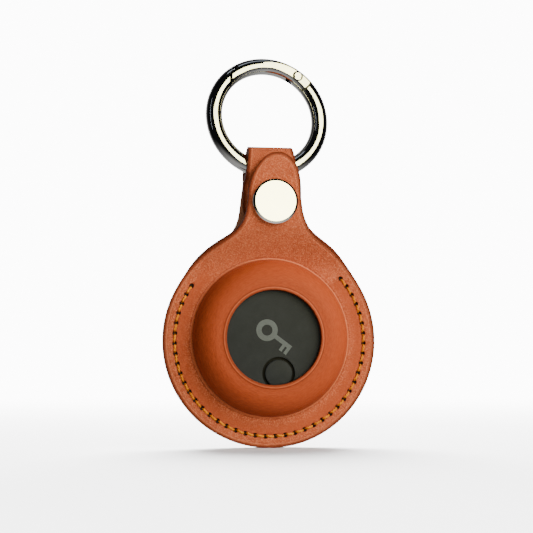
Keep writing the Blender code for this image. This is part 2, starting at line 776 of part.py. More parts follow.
def build_front_panel(frame):
    """The pressed leather: its front face, made thick towards the back."""
    mesh = to_mesh("front_panel", front_surface())
    if mesh.polygons[0].normal.y > 0:
        mesh.flip_normals()
    obj = add("front_panel", mesh, frame, "leather")
    wall = obj.modifiers.new("leather", "SOLIDIFY")
    wall.thickness = LEATHER_T
    wall.offset = -1.0
    wall.use_even_offset = True
    cut(obj, stitch_holes(-BACK_FACE - OVERRUN, 0.0), "front_stitch_holes")
    return obj


def tongue_half_width(z):
    """The tongue follows the neck a little inside it, then narrows to a round tip."""
    inset = TONGUE_INSET * smooth_step((z - FLEX_Z) / (NECK_Z - FLEX_Z))
    full = half_width(min(z, TONGUE_TAPER_Z)) - inset
    if z <= TONGUE_TAPER_Z:
        return full
    share = (z - TONGUE_TAPER_Z) / (TONGUE_TIP_Z - TONGUE_TAPER_Z)
    return full * (1 - min(share, 1.0) ** TONGUE_TIP_SHARE) ** (1 / TONGUE_TIP_SHARE)


def tongue_stations():
    """Middle surface of the tongue, from the cut line to the tip."""
    low = FLEX_Z + FLEX_GAP / 2
    heights = [low + (NECK_Z - low) * i / 10 for i in range(10)]
    heights += [NECK_Z, SNAP_Z, TONGUE_TAPER_Z]
    tall = TONGUE_TIP_Z - TONGUE_TAPER_Z
    pole = math.pi / 2 * POLE_SHARE
    heights += [TONGUE_TAPER_Z + tall * math.sin(pole * i / 10) for i in range(1, 11)]
    stations = []
    for z in heights:
        inward = Vector((1, rise_slope(z))).normalized() * LEATHER_T / 2
        stations.append((inward.x - BACK_FACE - rise(z), z + inward.y, tongue_half_width(z)))
    return stations


def build_tongue(pouch):
    hinge_y = -BACK_FACE - rise(FLEX_Z)
    axis = empty("tongue_axis", pouch, (0, hinge_y, FLEX_Z))
    obj = add("front_tongue", to_mesh("front_tongue", strip(tongue_stations())), axis, "leather",
              (0, -hinge_y, -FLEX_Z))
    bore = hole((0, SNAP_Z), BARREL_D / 2 + RIVET_CLEARANCE, 20)
    deep = BACK_FACE + RISE
    cut(obj, prism(bore, -deep - OVERRUN, -deep + LEATHER_T + OVERRUN), "barrel_hole")
    return axis, hinge_y


# Seam

def stitch_angles(shares):
    """Angles along the seam, one for each share of a stitch, in order."""
    length = math.radians(STITCH_START - STITCH_END) * STITCH_R
    count = round(length / STITCH_PITCH)
    step = (STITCH_END - STITCH_START) / count
    angles = []
    for stitch in range(count):
        for share in shares:
            angles.append(STITCH_START + step * (stitch + share))
    return angles + [STITCH_END]


def stitch_holes(low_y, high_y):
    bm = bmesh.new()
    for angle in stitch_angles((0.0,)):
        prism(hole(polar(STITCH_R, angle), HOLE_D / 2, 6), low_y, high_y, bm)
    return bm


def seam_groove():
    """The groove in the back leather's outer face that the bobbin thread lies in."""
    middle, spread = (STITCH_START + STITCH_END) / 2, STITCH_START - STITCH_END
    inner, outer = STITCH_R - SEAM_GROOVE_W / 2, STITCH_R + SEAM_GROOVE_W / 2
    outline = sector(inner, outer, middle, spread, GROOVE_SIDES)
    return prism(outline, BACK_FACE - SEAM_GROOVE_DEPTH, BACK_FACE + OVERRUN)


def build_thread(name, frame, side, lie):
    """One thread of the seam: it lies at a depth and dips from there into each hole."""
    dip = BACK_FACE - THREAD_DIP
    shares = [share for share, _ in STITCH_SHARES]
    lifts = [lift for _, lift in STITCH_SHARES]
    points = []
    for i, angle in enumerate(stitch_angles(shares)):
        lift = lifts[i % len(lifts)]
        depth = dip + (lie - dip) * lift
        x, z = polar(STITCH_R, angle)
        points.append((x, side * depth, z))
    return add(name, wire_path(name, points, THREAD_D, 0), frame, "thread")


# Snap fastener

def build_snap_back(frame):
    """Rivet post from behind the neck and the stud it holds on the tab."""
    place = (0, 0, SNAP_Z)
    seat = BACK_FACE + SNAP_SEAT
    post = POST_D / 2
    tip = seat + STUD_H * POST_TIP_SHARE
    head = placed(POST_HEAD_SHARES, POST_HEAD_D / 2, -seat, -POST_HEAD_T)
    profile = [(0, tip), (post, tip), (post, -seat)] + head
    add("snap_post", to_mesh("snap_post", lathe(profile, SMALL_SIDES)), frame, "nickel", place)
    bore, ceiling = post + RIVET_CLEARANCE / 2, tip + RIVET_CLEARANCE
    neck, base = STUD_BALL_D / 2 - STUD_NECK_DEPTH, STUD_BASE_D / 2
    ball = placed(STUD_TOP_SHARES, STUD_BALL_D / 2, seat, STUD_H)
    profile = [(0, seat + STUD_H)] + ball
    profile += [(neck, seat + STUD_H * STUD_NECK_SHARE), (neck, seat + STUD_BASE_T)]
    profile += [(base, seat + STUD_BASE_T), (base, seat), (bore, seat), (bore, ceiling), (0, ceiling)]
    add("snap_stud", to_mesh("snap_stud", lathe(profile, SMALL_SIDES)), frame, "nickel", place)


def build_snap_cap(axis, place, face, tip):
    """Shallow cap with its barrel, which goes through the leather and the socket's roof."""
    barrel = BARREL_D / 2
    profile = [(0, face + CAP_T)] + placed(CAP_SHARES, CAP_D / 2, face, CAP_T)
    profile += [(barrel, face), (barrel, tip), (0, tip)]
    add("snap_cap", to_mesh("snap_cap", lathe(profile, BIG_SIDES)), axis, "nickel", place)


def build_snap_front(axis, hinge_y):
    """Cap, socket and clip ring, which ride on the tongue."""
    place = (0, -hinge_y, SNAP_Z - FLEX_Z)
    face = BACK_FACE + RISE + SNAP_SEAT
    under = face - LEATHER_T - 2 * SNAP_SEAT
    roof, mouth = under - SOCKET_ROOF_T, under - SOCKET_H
    build_snap_cap(axis, place, face, roof + SNAP_SEAT)
    flange, body, bore = SOCKET_R + SOCKET_FLANGE_W, SOCKET_R, SOCKET_BORE_R
    barrel_bore = (BARREL_D + RIVET_CLEARANCE) / 2
    groove = (mouth + roof) / 2
    low, high, deep = groove - CLIP_WIRE_D, groove + CLIP_WIRE_D, bore + GROOVE_DEPTH
    profile = [(barrel_bore, under), (flange, under), (flange, under - SOCKET_FLANGE_T)]
    profile += [(body, under - SOCKET_FLANGE_T), (body, mouth + GROOVE_DEPTH), (body - GROOVE_DEPTH, mouth)]
    profile += [(bore, mouth), (bore, low), (deep, low), (deep, high), (bore, high), (bore, roof)]
    profile += [(barrel_bore, roof)]
    add("snap_socket", to_mesh("snap_socket", lathe(profile, SMALL_SIDES)), axis, "nickel", place)
    ring_r = deep - CLIP_WIRE_D / 2 - RIVET_CLEARANCE
    clip = arc((0, 0), ring_r, math.radians(CLIP_START), math.radians(CLIP_END), SMALL_SIDES)
    points = [(x, -groove, z) for x, z in clip]
    add("socket_spring", wire_path("socket_spring", points, CLIP_WIRE_D, 0), axis, "spring_steel", place)


# Tracker tag, drawn with its back on y = 0

def shell_profile():
    """Outside from the middle of the front to the back edge, then the inside back to the middle."""
    outer = [(0, TAG_T)]
    for i in range(6):
        angle = math.pi / 2 * i / 5
        outer.append((TAG_FLAT_R + TAG_EDGE_R * math.sin(angle),
                      TAG_T - TAG_EDGE_DEPTH + TAG_EDGE_DEPTH * math.cos(angle)))
    outer += [(TAG_R, SHELL_BACK_BEVEL), (TAG_R - SHELL_BACK_BEVEL, 0)]
    mouth, rib = SHELL_MOUTH_R, SHELL_MOUTH_R - RIB_R_DEPTH
    inner = [(mouth, 0), (mouth, RIB_Y), (rib, RIB_Y), (rib, RIB_Y + RIB_T), (mouth, RIB_Y + RIB_T)]
    for i in range(4):
        angle = math.pi / 2 * (1 - i / 3)
        inner.append((TAG_FLAT_R + (mouth - TAG_FLAT_R) * math.sin(angle),
                      TAG_T - TAG_EDGE_DEPTH + (TAG_EDGE_DEPTH - SHELL_FRONT_T) * math.cos(angle)))
    inner.append((0, SHELL_CEILING))
    return outer + inner


def rectangle(centre, wide, tall):
    cx, cz = centre
    half_w, half_t = wide / 2, tall / 2
    low, high = cz - half_t, cz + half_t
    return [(cx - half_w, low), (cx + half_w, low), (cx + half_w, high), (cx - half_w, high)]


def sector(inner_r, outer_r, centre, spread, count):
    """Outline of a piece of a ring, centred on an angle in degrees."""
    start = math.radians(centre - spread / 2)
    end = math.radians(centre + spread / 2)
    return arc((0, 0), inner_r, start, end, count) + arc((0, 0), outer_r, end, start, count)


def build_shell(tag):
    mesh = to_mesh("tag_front_shell", lathe(shell_profile(), BIG_SIDES))
    obj = add("tag_front_shell", mesh, tag, "tag_plastic")
    opening = hole((0, -BUTTON_Z), BUTTON_D / 2 + BUTTON_GROOVE, MIDDLE_SIDES)
    cut(obj, prism(opening, -TAG_T - OVERRUN, -TAG_T + SHELL_FRONT_T + SHORT_OVERRUN), "button_hole")
    for i in range(LUG_COUNT):
        centre = 90.0 + 360.0 / LUG_COUNT * i - TWIST
        inner, outer = SHELL_MOUTH_R - 2 * RIB_R_DEPTH, SHELL_MOUTH_R + NOTCH_RELIEF
        notch = sector(inner, outer, centre, NOTCH_ANGLE, 4)
        cut(obj, prism(notch, -RIB_Y - RIB_T - SHORT_OVERRUN, -RIB_Y + SHORT_OVERRUN), "rib_notch")
    return obj


def build_cover(tag):
    """Twist-off back: a disc, a skirt and lugs that turn under the shell's rib."""
    axis = empty("cover_axis", tag, (0, 0, 0))
    radius = SHELL_MOUTH_R - COVER_CLEARANCE
    inside, wall = COVER_INSIDE, SKIRT_R - SKIRT_WALL
    profile = [(0, inside), (wall, inside), (wall, SKIRT_END), (SKIRT_R, SKIRT_END), (SKIRT_R, inside)]
    profile += [(radius, inside), (radius, COVER_RECESS), (0, COVER_RECESS)]
    obj = add("battery_cover", to_mesh("battery_cover", lathe(profile, BIG_SIDES)), axis, "tag_plastic")
    lugs = bmesh.new()
    for i in range(LUG_COUNT):
        centre = 90.0 + 360.0 / LUG_COUNT * i
        lug = sector(SKIRT_R - SKIRT_WALL / 2, SKIRT_R + LUG_REACH, centre, LUG_ANGLE, 4)
        prism(lug, -SKIRT_END, -SKIRT_END + LUG_T, lugs)
    join(obj, lugs, "lugs")
    slot = rectangle((0, 0), COIN_SLOT_L, COIN_SLOT_W)
    cut(obj, prism(slot, -COVER_RECESS - COIN_SLOT_DEPTH, OVERRUN), "coin_slot")


def build_seal(tag):
    """O-ring round the cover's skirt, between the cover and the shell's rib."""
    middle = SKIRT_R + SEAL_GAP + SEAL_D / 2
    depth = COVER_INSIDE + SEAL_D / 2 + PART_GAP
    points = [(x, -depth, z) for x, z in disc((0, 0), middle, MIDDLE_SIDES)]
    add("seal_ring", wire_path("seal_ring", points, SEAL_D, 1, closed=True), tag, "rubber")


def build_power(tag):
    """Coin cell on the cover, its two contacts, and the board they stand on."""
    radius = CELL_D / 2
    profile = [(0, CELL_FACE)] + placed(CELL_SHARES, radius, CELL_LOW, CELL_T) + [(0, CELL_LOW)]
    add("coin_cell", to_mesh("coin_cell", lathe(profile, MIDDLE_SIDES)), tag, "nickel")
    under = PART_GAP - BOARD_LOW
    contact = prism(contact_outline(), under, under + CONTACT_T)
    add("battery_contact_negative", to_mesh("battery_contact_negative", contact), tag, "spring_steel")
    arm = sector(radius + CELL_GAP, radius + CELL_GAP + CLIP_T, 0.0, CLIP_ANGLE, 11)
    clip = prism(arm, under, under + CLIP_H)
    add("battery_clip_positive", to_mesh("battery_clip_positive", clip), tag, "spring_steel")
    profile = [(0, BOARD_FACE), (BOARD_R, BOARD_FACE), (BOARD_R, BOARD_LOW), (0, BOARD_LOW)]
    board = lathe(profile, MIDDLE_SIDES)
    add("circuit_board", to_mesh("circuit_board", board), tag, "circuit_green")


def contact_outline():
    """A spring tongue with a rounded tip."""
    half_l, half_w = CONTACT_L / 2, CONTACT_W / 2
    bend = half_l - half_w
    tip = arc((bend, 0), half_w, -math.pi / 3, math.pi / 3, 5)
    return [(-half_l, -half_w), (bend, -half_w)] + tip + [(bend, half_w), (-half_l, half_w)]


def build_electronics(tag):
    """Chip and switch on the board, and the buzzer on the shell's inner face."""
    low = BOARD_FACE + PART_GAP
    chip = rectangle((CHIP_X, CHIP_Z), CHIP_W, CHIP_W)
    add("radio_chip", to_mesh("radio_chip", prism(chip, -low - CHIP_T, -low)), tag, "chip_black")
    face = SHELL_CEILING - PART_GAP
    back = face - BUZZER_T
    plate = lathe([(0, face), (BUZZER_D / 2, face), (BUZZER_D / 2, back), (0, back)], SMALL_SIDES)
    add("buzzer_disc", to_mesh("buzzer_disc", plate), tag, "brass", (BUZZER_X, 0, BUZZER_Z))
    profile = [(0, SWITCH_TOP)] + placed(SWITCH_SHARES, SWITCH_D / 2, low, SWITCH_H) + [(0, low)]
    add("tact_switch", to_mesh("tact_switch", lathe(profile, SMALL_SIDES)), tag, "spring_steel",
        (0, 0, -BUTTON_Z))


def build_button(tag):
    """Round key in the front, kept by a flange behind the wall."""
    axis = empty("button_axis", tag, (0, 0, -BUTTON_Z))
    radius, flange = BUTTON_D / 2, BUTTON_FLANGE_R
    behind = BUTTON_BACK + BUTTON_FLANGE_T
    bevel = BUTTON_FLANGE_T / 2
    profile = [(0, TAG_T), (radius - bevel, TAG_T), (radius, TAG_T - bevel), (radius, behind)]
    profile += [(flange, behind), (flange, BUTTON_BACK), (0, BUTTON_BACK)]
    return add("tag_button", to_mesh("tag_button", lathe(profile, MIDDLE_SIDES)), axis, "tag_plastic")


def build_all():
    clear_scene()
    tilt = Matrix.Rotation(RING_YAW, 4, "Z") @ Matrix.Rotation(-RING_LEAN, 4, "X")
    ring = empty("ring_frame", None, (0, 0, 0), tilt)
    build_ring_body(ring)
    build_gate(ring)
    build_pivot_pin(ring)
    build_gate_spring(ring)

    up = tilt @ Vector((0, 0, 1))
    lowest = -up * (RING_HOLE_R + RING_R)
    loop_place = lowest + Vector((0, up.y, up.z)).normalized() * LOOP_LIFT
    loop = empty("loop_axis", None, loop_place)
    pouch = empty("pouch_frame", loop, (0, 0, -LOOP_Z))
    build_back_panel(pouch)
    build_front_panel(pouch)
    thread_step = THREAD_LIFT + THREAD_D / 2
    build_thread("needle_thread", pouch, -1, BACK_FACE + thread_step)
    build_thread("bobbin_thread", pouch, 1, BACK_FACE - thread_step)
    build_snap_back(pouch)
    tongue_axis, hinge_y = build_tongue(pouch)
    build_snap_front(tongue_axis, hinge_y)

    tag = empty("tag_axis", pouch, (0, TAG_BACK_Y, DOME_Z), Matrix.Rotation(TAG_TURN, 4, "Y"))
    build_shell(tag)
    build_cover(tag)
    build_seal(tag)
    build_power(tag)
    build_electronics(tag)
    build_button(tag)


build_all()
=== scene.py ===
import json
import math

import bmesh
import bpy
import numpy as np
from mathutils import Matrix, Vector

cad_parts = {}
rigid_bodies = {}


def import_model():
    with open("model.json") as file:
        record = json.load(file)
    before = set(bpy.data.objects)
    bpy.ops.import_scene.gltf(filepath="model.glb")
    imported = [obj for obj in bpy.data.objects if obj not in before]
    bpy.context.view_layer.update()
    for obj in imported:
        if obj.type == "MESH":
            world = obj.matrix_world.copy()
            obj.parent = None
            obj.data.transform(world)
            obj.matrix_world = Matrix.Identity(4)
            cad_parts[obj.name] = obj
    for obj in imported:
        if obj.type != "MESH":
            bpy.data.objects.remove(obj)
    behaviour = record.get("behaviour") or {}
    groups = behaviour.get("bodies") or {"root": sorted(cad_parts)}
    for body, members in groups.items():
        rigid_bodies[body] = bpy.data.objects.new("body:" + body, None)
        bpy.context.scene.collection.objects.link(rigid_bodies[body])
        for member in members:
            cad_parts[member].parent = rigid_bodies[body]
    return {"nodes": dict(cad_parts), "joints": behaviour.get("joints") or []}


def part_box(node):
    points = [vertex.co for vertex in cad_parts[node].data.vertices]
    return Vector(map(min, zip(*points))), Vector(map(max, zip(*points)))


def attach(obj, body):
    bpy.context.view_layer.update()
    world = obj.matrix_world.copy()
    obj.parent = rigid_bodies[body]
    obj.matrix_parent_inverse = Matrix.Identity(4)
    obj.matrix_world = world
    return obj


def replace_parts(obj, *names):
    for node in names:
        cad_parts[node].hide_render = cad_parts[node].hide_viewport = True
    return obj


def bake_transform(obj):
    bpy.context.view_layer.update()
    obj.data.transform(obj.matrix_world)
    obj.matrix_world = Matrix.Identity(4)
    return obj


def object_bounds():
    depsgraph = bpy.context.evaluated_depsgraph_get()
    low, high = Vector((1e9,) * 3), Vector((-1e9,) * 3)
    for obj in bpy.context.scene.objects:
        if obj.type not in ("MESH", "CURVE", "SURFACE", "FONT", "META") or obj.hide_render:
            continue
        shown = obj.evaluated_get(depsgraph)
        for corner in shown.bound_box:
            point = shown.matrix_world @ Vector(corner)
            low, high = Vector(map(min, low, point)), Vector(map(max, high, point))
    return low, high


for leftover in list(bpy.data.objects):
    bpy.data.objects.remove(leftover, do_unlink=True)
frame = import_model()
cad_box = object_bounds()


# Camera
# The holder is seen from its front, a little from the left and from just below its middle,
# through a long lens that keeps the round pouch round.
MM = 0.001
CAMERA_AZIMUTH = math.radians(-8.0)
CAMERA_ELEVATION = math.radians(-4.5)
CAMERA_DISTANCE = 300 * MM
CAMERA_LENS = 85.9
CAMERA_AIM = (-0.62, 0.0, 17.4)
CLIP_SHARE = 0.01
TAG_BACK_Y = -0.15
DOME_Z = 0.5


def joint(name):
    """One joint of the frame."""
    return next(j for j in frame["joints"] if j["name"] == name)


TAG_PLACE = Vector(joint("tag_turn")["pos_m"])
POUCH_PLACE = TAG_PLACE - Vector((0, TAG_BACK_Y, DOME_Z)) * MM
aim = POUCH_PLACE + Vector(CAMERA_AIM) * MM
back = Vector((
    math.sin(CAMERA_AZIMUTH) * math.cos(CAMERA_ELEVATION),
    -math.cos(CAMERA_AZIMUTH) * math.cos(CAMERA_ELEVATION),
    math.sin(CAMERA_ELEVATION),
))
camera = bpy.data.objects.new("camera", bpy.data.cameras.new("camera"))
bpy.context.collection.objects.link(camera)
camera.location = aim + back * CAMERA_DISTANCE
camera.rotation_euler = (-back).to_track_quat("-Z", "Y").to_euler()
camera.data.lens = CAMERA_LENS
camera.data.clip_start = CAMERA_DISTANCE * CLIP_SHARE
bpy.context.scene.camera = camera


# Ring
# The ring is a round steel wire bent to a circle. One end is stepped, where the gate's nose
# stops against it, and the other is milled to a leaf that goes into the gate's fork.
RING_R = 13.05
WIRE_R = 1.95
WIRE_SIDES = 48
WIRE_STEP = 2.0
PIVOT_ANGLE = 54.0
NOSE_POINTS = ((1.38, 118.0), (0.66, 122.5), (0.43, 131.8), (-0.06, 135.9), (-0.83, 145.3), (-1.2, 151.5))
NOSE_LIP_ANGLE = 117.0
NOSE_END_ANGLE = 156.0
GATE_GAP = 0.48
NOSE_PLAY = 0.02
GATE_END_R = 3.3
CHEEK_SIDES = 64
LEAF_T = 1.5
LEAF_REACH = 1.5
LEAF_CORNER_TURNS = (95.0, 265.0)
PIN_D = 1.6
PIN_PLAY = 0.06
EDGE_BREAK = 0.07
GROUND_SHARP = 9.0
GUNMETAL = (0.6, 0.59, 0.56, 1.0)
GUNMETAL_DARK = (0.5, 0.495, 0.48, 1.0)
JOINT_BLACK = (0.006, 0.006, 0.006, 1.0)
JOINT_GREY = (0.02, 0.02, 0.02, 1.0)


def ring_matrix():
    """The ring's own frame: its middle, +Z towards the hook and -Y along the gate's axis."""
    deep = -Vector(joint("gate_swing")["axis"]).normalized()
    right = deep.cross(Vector((0, 0, 1))).normalized()
    up = right.cross(deep)
    matrix = Matrix((right, deep, up)).transposed().to_4x4()
    matrix.translation = up * (WIRE_R - RING_R) * MM
    return matrix


def link(name, mesh):
    obj = bpy.data.objects.new(name, mesh)
    bpy.context.collection.objects.link(obj)
    return obj


def grid_object(name, rows, wrap_rows=False, wrap_columns=False, caps=False):
    """A mesh from a grid of points; caps fill the first and the last row."""
    high, wide = len(rows), len(rows[0])
    faces = []
    for r in range(high if wrap_rows else high - 1):
        here, there = r * wide, (r + 1) % high * wide
        for c in range(wide if wrap_columns else wide - 1):
            d = (c + 1) % wide
            faces.append((here + c, here + d, there + d, there + c))
    if caps:
        faces.append(tuple(reversed(range(wide))))
        faces.append(tuple(range((high - 1) * wide, high * wide)))
    mesh = bpy.data.meshes.new(name)
    mesh.from_pydata([tuple(point) for row in rows for point in row], [], faces)
    return link(name, mesh)


def solid(rows, name="cutter", triangles=False):
    """A closed solid through outlines that follow one another."""
    obj = grid_object(name, rows, wrap_columns=True, caps=True)
    bm = bmesh.new()
    bm.from_mesh(obj.data)
    if triangles:
        bmesh.ops.triangulate(bm, faces=bm.faces)
    bmesh.ops.recalc_face_normals(bm, faces=bm.faces)
    bm.to_mesh(obj.data)
    bm.free()
    return obj


def polar(radius, degrees):
    angle = math.radians(degrees)
    return radius * math.cos(angle), radius * math.sin(angle)


def arc(centre, radius, start, end, count):
    """Points on an arc in the XZ plane, its ends in degrees from +X towards +Z."""
    turns = np.radians(np.linspace(start, end, count))
    return [(centre[0] + radius * math.cos(t), centre[1] + radius * math.sin(t)) for t in turns]


def band(centre, near, far, start, end, near_count, far_count):
    """Outline of what lies between two arcs about one centre."""
    return arc(centre, near, start, end, near_count) + arc(centre, far, end, start, far_count)


def disc(centre, radius, sides=32):
    """A round outline with no corner on an axis through its middle."""
    side = 360.0 / sides
    return arc(centre, radius, side / 2, 360.0 - side / 2, sides)


def prism(outline, low, high):
    """A solid between two depths with an outline in the XZ plane."""
    return solid([[(x, depth, z) for x, z in outline] for depth in (low, high)])


def carve(obj, tool, operation="DIFFERENCE", material=None):
    """Cut one solid out of another, or grow the one by the other; a material is for the cut's faces."""
    tool.hide_render = True
    modifier = obj.modifiers.new("carve", "BOOLEAN")
    modifier.object = tool
    modifier.operation = operation
    modifier.solver = "EXACT"
    if material:
        tool.data.materials.append(material)
        modifier.material_mode = "TRANSFER"


def round_edges(obj, width, segments=2, angle=40.0):
    modifier = obj.modifiers.new("rounded", "BEVEL")
    modifier.width = width
    modifier.segments = segments
    modifier.limit_method = "ANGLE"
    modifier.angle_limit = math.radians(angle)


def apply_modifiers(obj):
    """Turn what the modifiers make into the object's own mesh, and drop their cutters."""
    tools = [m.object for m in obj.modifiers if m.type == "BOOLEAN"]
    bpy.context.view_layer.update()
    depsgraph = bpy.context.evaluated_depsgraph_get()
    shape = bpy.data.meshes.new_from_object(obj.evaluated_get(depsgraph),
                                            preserve_all_data_layers=True, depsgraph=depsgraph)
    obj.modifiers.clear()
    obj.data = shape
    for tool in tools:
        bpy.data.objects.remove(tool, do_unlink=True)


def seat(obj, matrix, material=None, sharp=35.0):
    """Finish a piece drawn in millimetres in its own frame, and put it in its place."""
    apply_modifiers(obj)
    mesh = obj.data
    mesh.transform(matrix @ Matrix.Scale(MM, 4))
    mesh.shade_smooth()
    mesh.set_sharp_from_angle(angle=math.radians(sharp))
    if material:
        mesh.materials.clear()
        mesh.materials.append(material)
    return obj


def wire_sector(name, start, end):
    """The round wire from one angle to another, with flat ends."""
    steps = round((end - start) / WIRE_STEP)
    rows = []
    for degrees in np.linspace(start, end, steps + 1):
        row = []
        for side in range(WIRE_SIDES):
            across, deep = polar(WIRE_R, 360.0 * (side + 0.5) / WIRE_SIDES)
            x, z = polar(RING_R + across, degrees)
            row.append((x, deep, z))
        rows.append(row)
    return solid(rows, name)


def nose_tool(gap, far_angle):
    """All of the wire on one side of the stepped line between ring and gate; a gap opens to a V."""
    reach = 2 * WIRE_R
    rows = []
    for depth in (-reach, 0.0, reach):
        wide = min(gap, NOSE_PLAY) + gap * abs(depth) / WIRE_R
        turn = math.degrees(wide / RING_R)
        outline = [polar(RING_R + share * WIRE_R - wide, angle - turn) for share, angle in NOSE_POINTS]
        outline.append(polar(RING_R - reach, NOSE_POINTS[-1][1]))
        outline += [polar(RING_R - reach, far_angle), polar(RING_R + reach, far_angle)]
        rows.append([(x, depth, z) for x, z in outline])
    return solid(rows, triangles=True)


class Value:
    """A socket of a node tree; sums, products and powers of values add its Math nodes."""

    def __init__(self, socket):
        self.socket = socket
        self.tree = socket.id_data

    def node(self, kind, settings=None, inputs=None, output=0):
        """Add a node: first its settings, then the values or links of its sockets."""
        node = self.tree.nodes.new(kind)
        for setting, choice in (settings or {}).items():
            setattr(node, setting, choice)
        for name, value in (inputs or {}).items():
            if isinstance(value, Value):
                self.tree.links.new(value.socket, node.inputs[name])
            else:
                node.inputs[name].default_value = value
        return Value(node.outputs[output])

    def math(self, operation, *values):
        return self.node("ShaderNodeMath", {"operation": operation}, dict(enumerate(values)))

    def __add__(self, other):
        return self.math("ADD", self, other)

    def __radd__(self, other):
        return self.math("ADD", other, self)

    def __sub__(self, other):
        return self.math("SUBTRACT", self, other)

    def __rsub__(self, other):
        return self.math("SUBTRACT", other, self)

    def __mul__(self, other):
        return self.math("MULTIPLY", self, other)

    def __rmul__(self, other):
        return self.math("MULTIPLY", other, self)

    def __truediv__(self, other):
        return self.math("DIVIDE", self, other)

    def __pow__(self, other):
        return self.math("POWER", self, other)

    def __abs__(self):
        return self.math("ABSOLUTE", self)

    def ramp(self, low, high):
        """0 below the first value and 1 above the second, smooth between them."""
        return self.node("ShaderNodeMapRange", {"interpolation_type": "SMOOTHSTEP"},
                         {"Value": self, "From Min": low, "From Max": high})

    def line(self, middle, width):
        """1 on a line at one value, fading to 0 at a distance from it."""
        return 1 - abs(self - middle).ramp(0.0, width)

    def mix(self, low, high):
        """Blend two colours, this value being the share of the second."""
        return self.node("ShaderNodeMix", {"data_type": "RGBA"}, {0: self, 6: low, 7: high}, 2)

    def vector(self, operation, other, output=0):
        return self.node("ShaderNodeVectorMath", {"operation": operation}, {0: self, 1: other}, output)

    def part(self, axis):
        """One coordinate of a vector: 0, 1 and 2 are X, Y and Z."""
        return self.node("ShaderNodeSeparateXYZ", {}, {0: self}, axis)

    def length(self):
        return self.vector("LENGTH", (0, 0, 0), 1)

    def around(self, centre):
        """The way from a centre, seen from the front."""
        return self.vector("SUBTRACT", tuple(centre)).vector("MULTIPLY", (1, 0, 1))

    def turn(self):
        """The angle of a way from the right towards the top."""
        return self.math("ARCTAN2", self.part(2), self.part(0))

    def attribute(self, name, output):
        """What a mesh keeps for each point: output 1 is a vector, 2 a number."""
        return self.node("ShaderNodeAttribute", {"attribute_name": name}, {}, output)

    def noise(self, size, detail=2.0, rough=0.5, stretch=(1, 1, 1)):
        """Noise over this place, its grains of a size in millimetres."""
        scale = tuple(s / (size * MM) for s in stretch)
        place = self.vector("MULTIPLY", scale)
        return place.node("ShaderNodeTexNoise", {},
                          {"Vector": place, "Scale": 1.0, "Detail": detail, "Roughness": rough})

    def bump(self, height, strength=1.0):
        """A normal from this value as a height, 1 standing a height in millimetres."""
        return self.node("ShaderNodeBump", {},
                         {"Height": self, "Distance": height * MM, "Strength": strength})


def new_material(name, values):
    """A material with constant values on its shader; return it and the place that it colours."""
    material = bpy.data.materials.new(name)
    material.use_nodes = True
    shader = material.node_tree.nodes["Principled BSDF"]
    for socket, value in values.items():
        shader.inputs[socket].default_value = value
    place = material.node_tree.nodes.new("ShaderNodeTexCoord").outputs["Object"]
    return material, Value(place)


def feed(material, **links):
    """Link values to the shader's sockets, underscores standing for spaces; return the material."""
    sockets = material.node_tree.nodes["Principled BSDF"].inputs
    for name, value in links.items():
        value.tree.links.new(value.socket, sockets[name.replace("_", " ")])
    return material


def plated_metal(name, colour, dull, rough=0.1):
    """Polished plate: a faint cloud in its colour, rub marks in its gloss and a wavy skin."""
    material, place = new_material(name, {"Metallic": 1.0})
    cloud = place.noise(4.0, 3.0)
    rubbed = place.noise(0.5, 4.0, 0.6, (1, 1, 0.25))
    ripple = place.noise(3.0, 1.0)
    return feed(material, Base_Color=cloud.ramp(0.3, 0.75).mix(dull, colour),
                Roughness=rubbed.ramp(0.45, 0.8) * 0.04 + rough,
                Normal=ripple.bump(0.0012))


RING_FRAME = ring_matrix()
gunmetal = plated_metal("gunmetal", GUNMETAL, GUNMETAL_DARK, 0.05)
# Faces cut for the joints are near black: painted shade in the joints' gaps, with some grease.
joint_dark = plated_metal("shaded_joint", JOINT_BLACK, JOINT_GREY, 0.4)
PIVOT = polar(RING_R, PIVOT_ANGLE)
leaf_end = PIVOT_ANGLE + math.degrees(LEAF_REACH / RING_R)
ring = wire_sector("ring", NOSE_LIP_ANGLE - 360.0, leaf_end)
ring.data.materials.append(gunmetal)
clear_angle = PIVOT_ANGLE + 2 * (NOSE_LIP_ANGLE - PIVOT_ANGLE) / 3
carve(ring, nose_tool(0.0, clear_angle), material=joint_dark)
cheek = disc(PIVOT, GATE_END_R + GATE_GAP, CHEEK_SIDES)
carve(ring, prism(cheek, LEAF_T / 2, 2 * WIRE_R), material=joint_dark)
carve(ring, prism(cheek, -2 * WIRE_R, -LEAF_T / 2), material=joint_dark)
carve(ring, prism(disc(PIVOT, PIN_D / 2 + PIN_PLAY), -LEAF_T, LEAF_T), material=joint_dark)
away = PIVOT_ANGLE - 90.0
start, end = (away + turn for turn in LEAF_CORNER_TURNS)
corners = band(PIVOT, WIRE_R, 3 * WIRE_R, start, end, 25, 9)
carve(ring, prism(corners, -LEAF_T, LEAF_T), material=joint_dark)
round_edges(ring, EDGE_BREAK)
seat(ring, RING_FRAME, sharp=GROUND_SHARP)
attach(ring, "ring")
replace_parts(ring, "ring_body")


# Gate
# The gate is the top of the ring, a piece of the same wire. One end is slotted to a fork that
# is ground flat about its rivet, and its nose is stepped to stop under the ring's end.
FLAT_SHARE = 0.87
FLAT_END_ANGLE = 66.0
TAPER_START_ANGLE = 104.0
TAPER_START_SHARE = 1.02
TAPER_STEPS = 30
NOSE_OVERRUN = 6.0
SLOT_END_R = 2.8
SLOT_PLAY = 0.15
END_CUT = 80.0
BORE_SIDES = 24
BORE_R = 0.76
BORE_DEPTH = 3.2
RIVET_HEAD_D = 2.2


def circle(radius, sides):
    """Points round a circle, the first on its first axis."""
    return [polar(radius, 360.0 * k / sides) for k in range(sides)]


